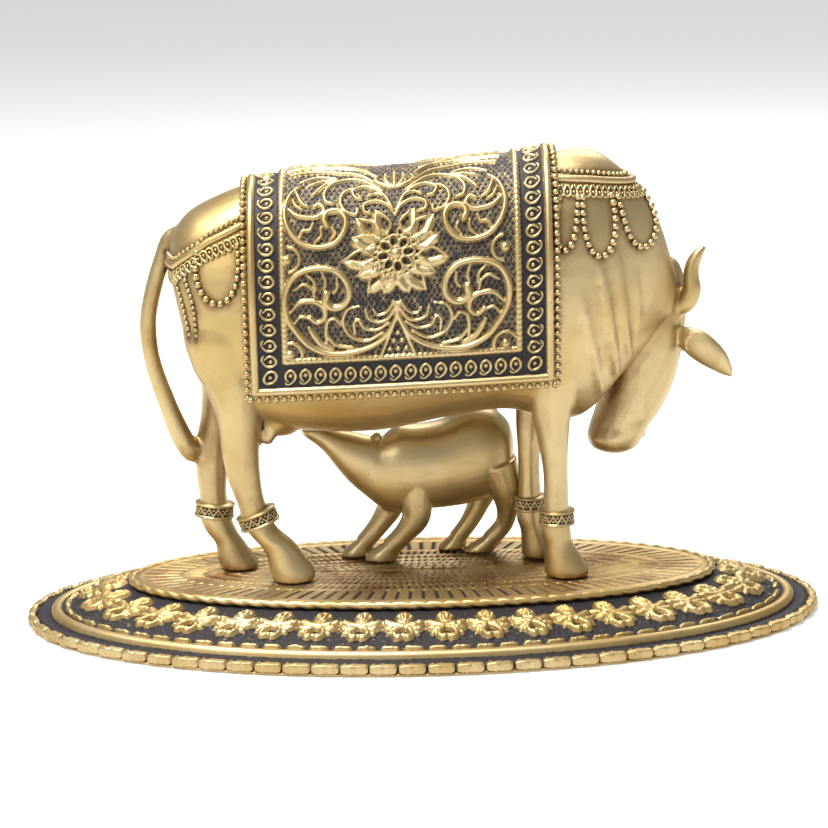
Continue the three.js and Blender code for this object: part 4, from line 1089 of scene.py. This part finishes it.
cords, loops, fine_beads, swags = [], [], [], []
for keys, centre in ((CHEST_KEYS, CHEST), (RUMP_KEYS, RUMP)):
    cords.append(strap(keys, centre, 0, 0.2)[0])
    fine_beads.append((*strap(keys, centre, -2.1, 0.1), False))
    loops.append((*strap(keys, centre, 3.6, 0.15), False))
swags += [(*swag(*shape, -1, CHEST), False) for shape in NEAR_SWAGS]
swags += [(*swag(*shape, 1, CHEST), False) for shape in FAR_SWAGS]
for side in (-1, 1):
    swags.append((*swag(-67.6, -54.4, 121.5, 17.5, side, RUMP), False))
    for shift_x in (0, 3.4):
        string = on_side(trunk_finder, [(-74.6 + shift_x, 111), (-72.4 + shift_x, 103), (-70.2 + shift_x * 0.6, 92)], side, 8, 0.2)
        fine_beads.append((string, np.tile([-0.6, 0.8 * side, 0], (len(string), 1)), False))
finish_piece(mesh_piece("harness_cords", *joined([cord(path, 1.25) for path in cords]), CARVED_BRASS, "brass", ANIMAL_SHIFT))
finish_piece(row_of("harness_fine_beads", BEAD, fine_beads, 1.75, 0.8, CARVED_BRASS, "brass", 0.08, 3, ANIMAL_SHIFT))
finish_piece(row_of("harness_loops", LOOP, loops, 2.05, 1.25, CARVED_BRASS, "brass", 0.03, 4, ANIMAL_SHIFT))
finish_piece(row_of("harness_swags", BEAD, swags, 2.45, 1.2, CARVED_BRASS, "brass", 0.08, 5, ANIMAL_SHIFT))

# %% [markdown]
# A fringe of beads runs all round the cloth's edge and rests on the body just outside it.

# %% Cloth fringe
FRINGE_GAP = 1.0
edge_v = np.linspace(-CLOTH_DEPTH, CLOTH_DEPTH, 161)
fringe = []
for x, way in ((CLOTH_REAR, -1), (CLOTH_FRONT, 1)):
    out, height, length = cloth_section(x)
    reach = np.abs(edge_v) / CLOTH_DEPTH * length[-1]
    line = np.stack([np.full(161, x + way * FRINGE_GAP), MIDDLE_Y + np.sign(edge_v) * (np.interp(reach, length, out) - 0.2),
                     np.interp(reach, length, height) - 0.2], 1)
    outward = line - [x - way * 8, MIDDLE_Y, 106]
    fringe.append((line, outward / np.linalg.norm(outward, axis=1)[:, None], False))
hem_x = np.linspace(CLOTH_REAR, CLOTH_FRONT, 80)
for side in (-1, 1):
    ends = [cloth_section(x) for x in hem_x]
    line = np.stack([hem_x, [MIDDLE_Y + side * (end[0][-1] - 0.1) for end in ends], [end[1][-1] - FRINGE_GAP for end in ends]], 1)
    fringe.append((line, np.tile([0, side * 0.92, -0.39], (80, 1)), False))
finish_piece(row_of("cloth_fringe", BEAD, fringe, 2.55, 1.12, CARVED_BRASS, "brass", 0.08, 6, ANIMAL_SHIFT))

# %% [markdown]
# Each leg wears an anklet: a low band between two rims, with a zigzag and dots. It is a relief sheet
# wrapped round the leg, square to the shank.

# %% Anklets
ANKLETS = [((-51.9, -13.1, 32.3), (5.9, 5.3), 20), ((-66.5, 2.3, 31.4), (5.7, 5.2), -6),
           ((42.8, -15.3, 31.1), (5.1, 5.0), 0), ((35.6, 6.6, 30), (4.7, 4.9), 0)]
ANKLET_HEIGHT = 5.0
for number, (middle, halves, lean) in enumerate(ANKLETS):
    round_length = 2 * np.pi * sum(halves) / 2
    sheet = Sheet((0, round_length), (0, ANKLET_HEIGHT), 0.25)
    for v in (0.55, ANKLET_HEIGHT - 0.55):
        sheet.stroke([(-1, v), (round_length + 1, v)], 1.15, 0.75, (1, 1))
    teeth = 12
    for k in range(teeth):
        u0, u1 = k * round_length / teeth, (k + 1) * round_length / teeth
        sheet.stroke([(u0, 1.4), ((u0 + u1) / 2, 3.6)], 0.6, 0.5, (1, 1))
        sheet.stroke([((u0 + u1) / 2, 3.6), (u1, 1.4)], 0.6, 0.5, (1, 1))
        sheet.dot((u0 + u1) / 2, 1.9, 0.4, 0.5)
        sheet.dot(u0, 3.2, 0.4, 0.5)
    tilt = math.radians(lean)
    axis = np.array([-math.sin(tilt), 0, math.cos(tilt)])
    ahead = np.array([math.cos(tilt), 0, math.sin(tilt)])

    def anklet_place(grid_u, grid_v):
        angle = grid_u / grid_u.max() * 2 * np.pi
        out = ahead * np.cos(angle)[..., None] * halves[0] + np.array([0, 1, 0]) * np.sin(angle)[..., None] * halves[1]
        rise = axis * (grid_v - ANKLET_HEIGHT / 2)[..., None]
        return np.array(middle) + out + rise, out / np.linalg.norm(out, axis=2)[..., None]

    finish_piece(sheet_piece(f"anklet_{number}", sheet, anklet_place, CARVED_BRASS, "brass", 1.6, ANIMAL_SHIFT,
                             relief=np.clip(sheet.height / 0.5, 0, 1)))

# %% [markdown]
# The cow is set down: body and head are the melted skins with their patina worked out from how hollow
# each place is. Close to the beads and straps the patina is never rubbed away. Shade is painted into the
# colour too: the less sky a place sees, the browner and darker it is, under the belly, between the legs
# and behind the jaw.

# %% Place the cow


def patina(hollow, soft=0.05, hard=0.55):
    """1 where the skin is flat or stands out, 0 in tight hollows."""
    return 1 - np.clip((hollow - soft) / (hard - soft), 0, 1)


def shade(points, faces, finder, reach=26.0, step=1):
    """The share of the sky that is shut off close to each vertex."""
    normals = vertex_normals(points, edges_of(faces)[1])
    spread = [Vector(v).normalized() for v in (
        (0, 0, 1), (0.8, 0, 0.6), (-0.8, 0, 0.6), (0, 0.8, 0.6), (0, -0.8, 0.6), (0.7, 0.7, -0.1), (-0.7, 0.7, -0.1),
        (0.7, -0.7, -0.1), (-0.7, -0.7, -0.1))]
    blocked = np.zeros(len(points))
    for k, (point, normal) in enumerate(zip(points, normals)):
        start = Vector(point + normal * 0.6)
        hits = faced = 0
        for ray in spread:
            slope = ray.x * normal[0] + ray.y * normal[1] + ray.z * normal[2]
            if slope > 0.05:
                faced += 1
                hits += finder.ray_cast(start, ray, reach)[0] is not None
        blocked[k] = hits / faced if faced else 1
    return blocked


near_lines = [line for line, _, _ in loops + fine_beads + swags + fringe] + cords
body_finder = skin_finder(*joined([(body_points, body_faces), (head_points, head_faces)]))
halo = nearness(body_points, near_lines, 2.6) ** 0.6
# Painted shade: how much sky each body vertex loses to the body and head.
body_shade = shade(body_points, body_faces, body_finder)
# The body's second number: patina beside the ornaments plus painted shade.
cow_body = finish_piece(mesh_piece("cow_body", body_points, body_faces, BODY_BRASS, "brass", ANIMAL_SHIFT,
                                   relief=patina(body_hollow), grime=np.clip(halo + body_shade * 0.75, 0, 1)))
# The head's second number is painted shade alone, from blocked sky.
head_shade = shade(head_points, head_faces, body_finder)
cow_head = finish_piece(mesh_piece("cow_head", head_points, head_faces, BODY_BRASS, "brass", ANIMAL_SHIFT,
                                   relief=patina(head_hollow, 0.03, 0.3), grime=np.clip(head_shade * 0.75, 0, 1)))
print("body shade:", round(float(body_shade.mean()), 3))

# %% [markdown]
# The calf stands under the cow and reaches up to the udder. It is made like the cow, only finer.

# %% Calf
CALF_BODY = [
    (30.8, 50, 30.8, 42, 16.4, 4, 0), (29, 55, 29.4, 36, 16, 8, 0), (24, 59.4, 24, 31, 15.2, 10, 0),
    (17, 60.4, 17, 28.6, 14.2, 10.8, 0), (8, 57, 8, 27.6, 12.8, 10.8, 0), (0, 55.8, 0, 27.6, 11.4, 10.4, 0),
    (-6, 56, -6.4, 27.2, 10.4, 9.6, 0), (-10, 54, -12.4, 28.6, 9.6, 8.2, 0), (-12.4, 52.2, -18.4, 33.6, 8.8, 7, 0),
    (-16, 53, -23, 38, 8.2, 6.8, 0), (-21, 54.4, -26.8, 42.8, 7.6, 6, 0), (-26, 55.6, -31, 48.6, 7.2, 4.8, 0),
    (-30, 57, -34.2, 51.6, 7, 4.1, 0), (-34, 58, -36.8, 53.6, 6.8, 3.8, 0), (-36.8, 57.4, -38, 55.2, 6.7, 2, 0),
]
CALF_LIMBS = [
    [(-1, 8, 42, 6.4), (-1.4, 6.8, 33, 5.6), (-1.6, 6.2, 26, 4.7), (-5.4, 6.2, 20.6, 3.5), (-10, 6.6, 15.8, 3.3)],
    [(-7, 13, 38, 5.4), (-9.6, 12.8, 28.6, 4.5), (-13.6, 12.4, 22, 3.4), (-19, 12.2, 15.6, 3)],
    [(25, 11.5, 42, 7), (28, 11.6, 33, 5.4), (28.4, 12.4, 26, 3.6), (27, 13.6, 20.4, 3), (22.4, 14.4, 15, 2.9)],
    [(20, 20, 41, 6), (21, 20, 32, 4.8), (19, 19.4, 26, 3.6), (15.8, 18.8, 20, 3), (11.6, 18.2, 14.8, 2.8)],
]
CALF_HOOVES = [
    [(-10, 6.6, 17, 3, 3), (-12.2, 6.8, 14, 5, 3.6), (-13.2, 6.9, FOOT, 5.6, 3.9)],
    [(-19, 12.2, 16.6, 2.9, 2.9), (-20.8, 12.2, 13.6, 4.6, 3.3), (-21.6, 12.2, FOOT, 4.9, 3.5)],
    [(22.6, 14.4, 16, 3, 3), (20.4, 14.6, 13.4, 4.8, 3.4), (19, 14.7, FOOT, 5.2, 3.6)],
    [(12, 18.2, 15.8, 2.8, 2.8), (10.8, 18, 13.4, 4.2, 3.2), (10, 17.9, FOOT, 4.6, 3.4)],
]
CALF_TAIL = [
    (26, 21, 54, 1.8), (23, 21.6, 58.6, 1.7), (18, 20.6, 61.4, 1.6), (13.6, 19, 61.6, 1.5), (11.4, 18.4, 63.2, 1.5),
    (11.2, 18.2, 66, 1.3),
]
calf_parts = [skin(upright_rings(CALF_BODY, 6, 40))]
calf_parts += [skin(bar_rings(limb)) for limb in CALF_LIMBS] + [skin(level_rings(hoof)) for hoof in CALF_HOOVES]
calf_parts += [skin(bar_rings(CALF_TAIL)), skin(bar_rings([(-14.6, 7.4, 51, 1.9), (-13.6, 7.3, 53, 1.5), (-13, 7.2, 54.2, 0.8)]))]
calf_points, calf_faces = melt(calf_parts, 0.45, 4)
calf_body = finish_piece(mesh_piece("calf_body", calf_points, calf_faces, CALF_BRASS, "brass", ANIMAL_SHIFT,
                                    relief=patina(hollowness(calf_points, calf_faces, 8), 0.03, 0.3)), "calf")
print("calf:", len(calf_points), "points")

# %% [markdown]
# The stand is a row of oval mouldings. Every moulding lies between the platform's edge, share 0, and
# the foot, share 1, so one share and one height describe it all the way round.

# %% Stand mouldings
OUTER, INNER = (127, 66), (92.8, 35.4)
STAND_PROFILE = [
    (0.9, 0, 0.5), (0.972, 0, 0.7), (0.985, 0.3, 1), (0.985, 0.7, 1), (0.975, 0.95, 0.5), (0.94, 1.0, 0), (0.93, 2, 0),
    (0.92, 3.4, 0), (0.88, 3.5, 0), (0.8, 3.2, 0), (0.79, 3.6, 0.2), (0.79, 4.6, 0.9), (0.775, 5.4, 1), (0.75, 5.85, 1),
    (0.72, 5.9, 1), (0.70, 5.6, 0.6), (0.69, 5.1, 0), (0.6, 5.2, 0), (0.3, 8.6, 0), (0.03, 11.8, 0), (-0.04, 12.2, 0),
]


def oval(share, angle, z):
    along = INNER[0] + (OUTER[0] - INNER[0]) * share
    across = INNER[1] + (OUTER[1] - INNER[1]) * share
    return np.stack([along * np.cos(angle), across * np.sin(angle), z + 0 * angle], -1)


def even_angles(share, count, shift=0.0):
    """Angles that divide the oval into equal lengths, and the oval's whole length."""
    fine = np.linspace(0, 2 * np.pi, 2881)
    steps = np.linalg.norm(np.diff(oval(share, fine, 0), axis=0), axis=1)
    lengths = np.r_[0, np.cumsum(steps)]
    return np.interp((np.arange(count) + shift) / count * lengths[-1], lengths, fine), lengths[-1]


def stand_normal(angle, rise=0.0):
    out = np.stack([INNER[1] * np.cos(angle), INNER[0] * np.sin(angle), 0 * angle], -1)
    out /= np.linalg.norm(out, axis=-1)[..., None]
    return out * math.cos(rise) + np.array([0, 0, math.sin(rise)])


stand_angles, _ = even_angles(0.7, 360)
stand_points, stand_faces = skin([oval(share, stand_angles, z) for share, z, _ in STAND_PROFILE])
stand_relief = np.r_[np.repeat([row[2] for row in STAND_PROFILE], 360), 0.5, 0.5]
finish_piece(mesh_piece("stand_mouldings", stand_points, stand_faces, STAND_BRASS, "aged_brass", relief=stand_relief),
             "oval_base")

# %% [markdown]
# The foot carries a ring of 70 rough blocks with dark gaps. One block is a small pillow with a dented
# face, and the row sets it 70 times.

# %% Stand blocks
BLOCKS = 70
BLOCK_LONG, BLOCK_HIGH, BLOCK_DEEP = 8.3, 2.9, 2.6


def block_shape():
    rings = []
    random = np.random.default_rng(4)
    for share in np.linspace(-1, 1, 13):
        end = 1 - 0.35 * abs(share) ** 8
        ring = round_ring(np.array([share * BLOCK_LONG / 2, 0, 0]), np.array([0, BLOCK_HIGH / 2 * end, 0]),
                          np.array([0, 0, BLOCK_DEEP / 2 * end]), 14, 5.5)
        rings.append(ring + random.normal(0, 0.13, ring.shape) * [0.2, 0.8, 1])
    points, faces = skin(rings)
    relief = np.clip(0.75 + points[:, 2] / BLOCK_DEEP + random.normal(0, 0.22, len(points)), 0, 1)
    return hidden_shape("block", points, faces, relief)


block_angles, foot_length = even_angles(1, 840)
finish_piece(row_of("stand_blocks", block_shape(), [
    (oval(0.965, block_angles, 2.45), stand_normal(block_angles), True)], foot_length / BLOCKS * 0.9985, 1,
    STAND_BRASS, "aged_brass", 0.05, 7))

# %% [markdown]
# The sloping band is carved with 37 vine leaves. Each has a round top lobe with three veins, two
# pointed side lobes and two curled feet. Below them runs a line of dashes.

# %% Stand leaves
LEAVES_AROUND = 37
BAND_LOW, BAND_HIGH = (0.69, 5.0), (-0.03, 12.1)
BAND_LENGTH = 24.0


def band_place(grid_u, grid_v):
    angles = np.interp(grid_u, band_lengths, band_angles)
    rise = np.clip(grid_v / BAND_LENGTH, 0, 1)
    share = BAND_LOW[0] + (BAND_HIGH[0] - BAND_LOW[0]) * rise
    bow = 0.9 * np.sin(np.pi * rise) ** 0.7
    points = oval(share, angles, BAND_LOW[1] + (BAND_HIGH[1] - BAND_LOW[1]) * rise + bow - 0.9)
    return points, stand_normal(angles, math.radians(68))


fine_angles, band_round = even_angles(0.35, 2000)
band_angles = np.r_[fine_angles, 2 * np.pi]
band_lengths = np.linspace(0, band_round, 2001)
band = Sheet((0, band_round), (0, BAND_LENGTH), 0.36)
leaf_pitch = band_round / LEAVES_AROUND
for k in range(LEAVES_AROUND):
    mid = (k + 0.25) * leaf_pitch

    def at(*corners):
        return [(mid + u, v) for u, v in corners]

    band.dot(mid, 17.4, 3.3, 2.3)
    band.dot(mid, 15.4, 2.9, 2.4)
    for way in (1, -1):
        band.stroke(at((0, 12.5), (way * 2.6, 13.0), (way * 6.9, 15.0)), 3.3, 2.0, (1, 0.16))
        band.stroke(at((0, 11.8), (way * 3.4, 11.2), (way * 6.4, 11.4)), 2.8, 1.8, (1, 0.25))
        band.stroke(at((way * 0.9, 12), (way * 2.6, 8.8), (way * 1.6, 6.4), (way * 0.2, 7.4)), 2.1, 1.9, (1, 0.9))
        band.dot(mid + way * 1.2, 7.0, 1.2, 2.1)
        band.stroke(at((way * 2.2, 10.6), (way * 4.8, 8.4)), 1.9, 1.5, (1, 0.4))
        for k_vein in range(7):
            band.hole(mid + way * (0.5 + 0.2 * k_vein), 14.6 + 0.48 * k_vein, 0.5, 0.75)
    for k_vein in range(6):
        band.hole(mid, 15.2 + 0.6 * k_vein, 0.5, 0.8)
    for k_dash in range(2):
        u = mid + (k_dash - 0.5) * leaf_pitch / 2
        band.stroke([(u - 2.0, 2.0), (u + 2.0, 2.0)], 1.7, 1.5, (0.8, 0.8))
rough = np.random.default_rng(11).normal(0, 1, band.height.shape)
rough = (rough + np.roll(rough, 1, 0) + np.roll(rough, 1, 1) + np.roll(rough, -1, 0) + np.roll(rough, -1, 1)) / 5
band.height += np.clip(rough, 0, 2) * 0.35
finish_piece(sheet_piece("stand_leaves", band, band_place, STAND_BRASS, "aged_brass", 1.0,
                         relief=np.clip(band.height / 1.25, 0, 1)))

# %% [markdown]
# Above the leaves a lip like a laid rope runs round the platform. The rope is a bar whose section has
# two strands and turns as it goes.

# %% Stand rope and platform
ROPE_RADIUS, ROPE_PITCH = 1.15, 5.4
PLATFORM_Z = 14.2


def rope_skin(centres, normals, radius, pitch, sides=12, depth=0.16):
    """A closed rope along a ring of places."""
    along = np.roll(centres, -1, 0) - np.roll(centres, 1, 0)
    along /= np.linalg.norm(along, axis=1)[:, None]
    across = np.cross(along, normals)
    lengths = np.r_[0, np.cumsum(np.linalg.norm(np.diff(centres, axis=0), axis=1))]
    whole = lengths[-1] + np.linalg.norm(centres[0] - centres[-1])
    turn_of = 2 * np.pi * lengths / whole * round(whole / pitch)
    angle = np.linspace(0, 2 * np.pi, sides, endpoint=False)
    size = radius * (1 - depth + depth * np.abs(np.cos(angle[None] - turn_of[:, None] / 2 * 1.0)) * 2)
    points = centres[:, None] + size[..., None] * (
        normals[:, None] * np.cos(angle)[None, :, None] + across[:, None] * np.sin(angle)[None, :, None])
    count = len(centres)
    index = np.arange(count * sides).reshape(count, sides)
    nexts, sideways = np.roll(index, -1, 0), np.roll(index, -1, 1)
    faces = np.stack([index, sideways, np.roll(sideways, -1, 0), nexts], -1).reshape(-1, 4)
    relief = np.clip((size / radius - 1 + depth) / depth, 0, 1) * (0.45 + 0.55 * np.clip(np.cos(angle)[None] + 0.6, 0, 1))
    return points.reshape(-1, 3), faces.tolist(), relief.ravel()


lip_angles, _ = even_angles(0, 1100)
lip_points, lip_faces, lip_relief = rope_skin(
    oval(0.015, lip_angles, 13.35), stand_normal(lip_angles, math.radians(50)), ROPE_RADIUS, ROPE_PITCH)
finish_piece(mesh_piece("stand_rope", lip_points, lip_faces, STAND_BRASS, "aged_brass", relief=0.35 + 0.65 * lip_relief))

# %% [markdown]
# The platform is engraved with rings of radial dashes, long at the rim and finer towards the middle,
# like woven straw. Worn metal between them is golden, the dashes are dark.

# %% Platform
DASH_RINGS = [
    (3.4, 13.2, 92, 1.0), (14.4, 18.6, 150, 0.8), (19.6, 22.8, 150, 0.75), (23.8, 26.4, 132, 0.75),
    (27.4, 29.6, 110, 0.7), (30.4, 32.4, 84, 0.7), (33, 34.6, 60, 0.7),
]
PLATFORM_DEPTH = 35.0


def platform_place(grid_u, grid_v):
    angles = np.interp(grid_u, platform_lengths, platform_angles)
    inner = grid_v / INNER[1]
    along = INNER[0] - grid_v - (INNER[0] - INNER[1]) * inner**2 * 0.25
    across = INNER[1] - grid_v
    points = np.stack([along * np.cos(angles), across * np.sin(angles), PLATFORM_Z + 0 * angles], -1)
    return points, np.broadcast_to(np.array([0.0, 0, 1]), points.shape)


lip_fine, platform_round = even_angles(0, 2000)
platform_angles = np.r_[lip_fine, 2 * np.pi]
platform_lengths = np.linspace(0, platform_round, 2001)
top = Sheet((0, platform_round), (0, PLATFORM_DEPTH), 0.5)
top.height += 0.25 * np.exp(-((top.grid_v - 2.0) / 0.7) ** 2)
for ring, (start, stop, count, width) in enumerate(DASH_RINGS):
    phase = (top.grid_u / platform_round * count + 0.5 * ring) % 1 * platform_round / count
    side_gap = np.minimum(phase, platform_round / count - phase)
    inside = np.clip((top.grid_v - start) * 2, 0, 1) * np.clip((stop - top.grid_v) * 2, 0, 1)
    top.height -= 0.75 * inside * np.exp(-(side_gap / (width * 0.55)) ** 4)
    top.height += 0.18 * np.exp(-((top.grid_v - (stop + 0.5)) / 0.4) ** 2)
top_relief = np.clip(0.62 + top.height * 1.1, 0, 1)
# Darker the further a place lies inside the rim.
top_grime = 0.25 + 0.35 * np.clip((top.grid_v - 4) / 20, 0, 1)
finish_piece(sheet_piece("platform", top, platform_place, STAND_BRASS, "aged_brass", 0.8, closed=False,
                         relief=top_relief, grime=top_grime.ravel()))
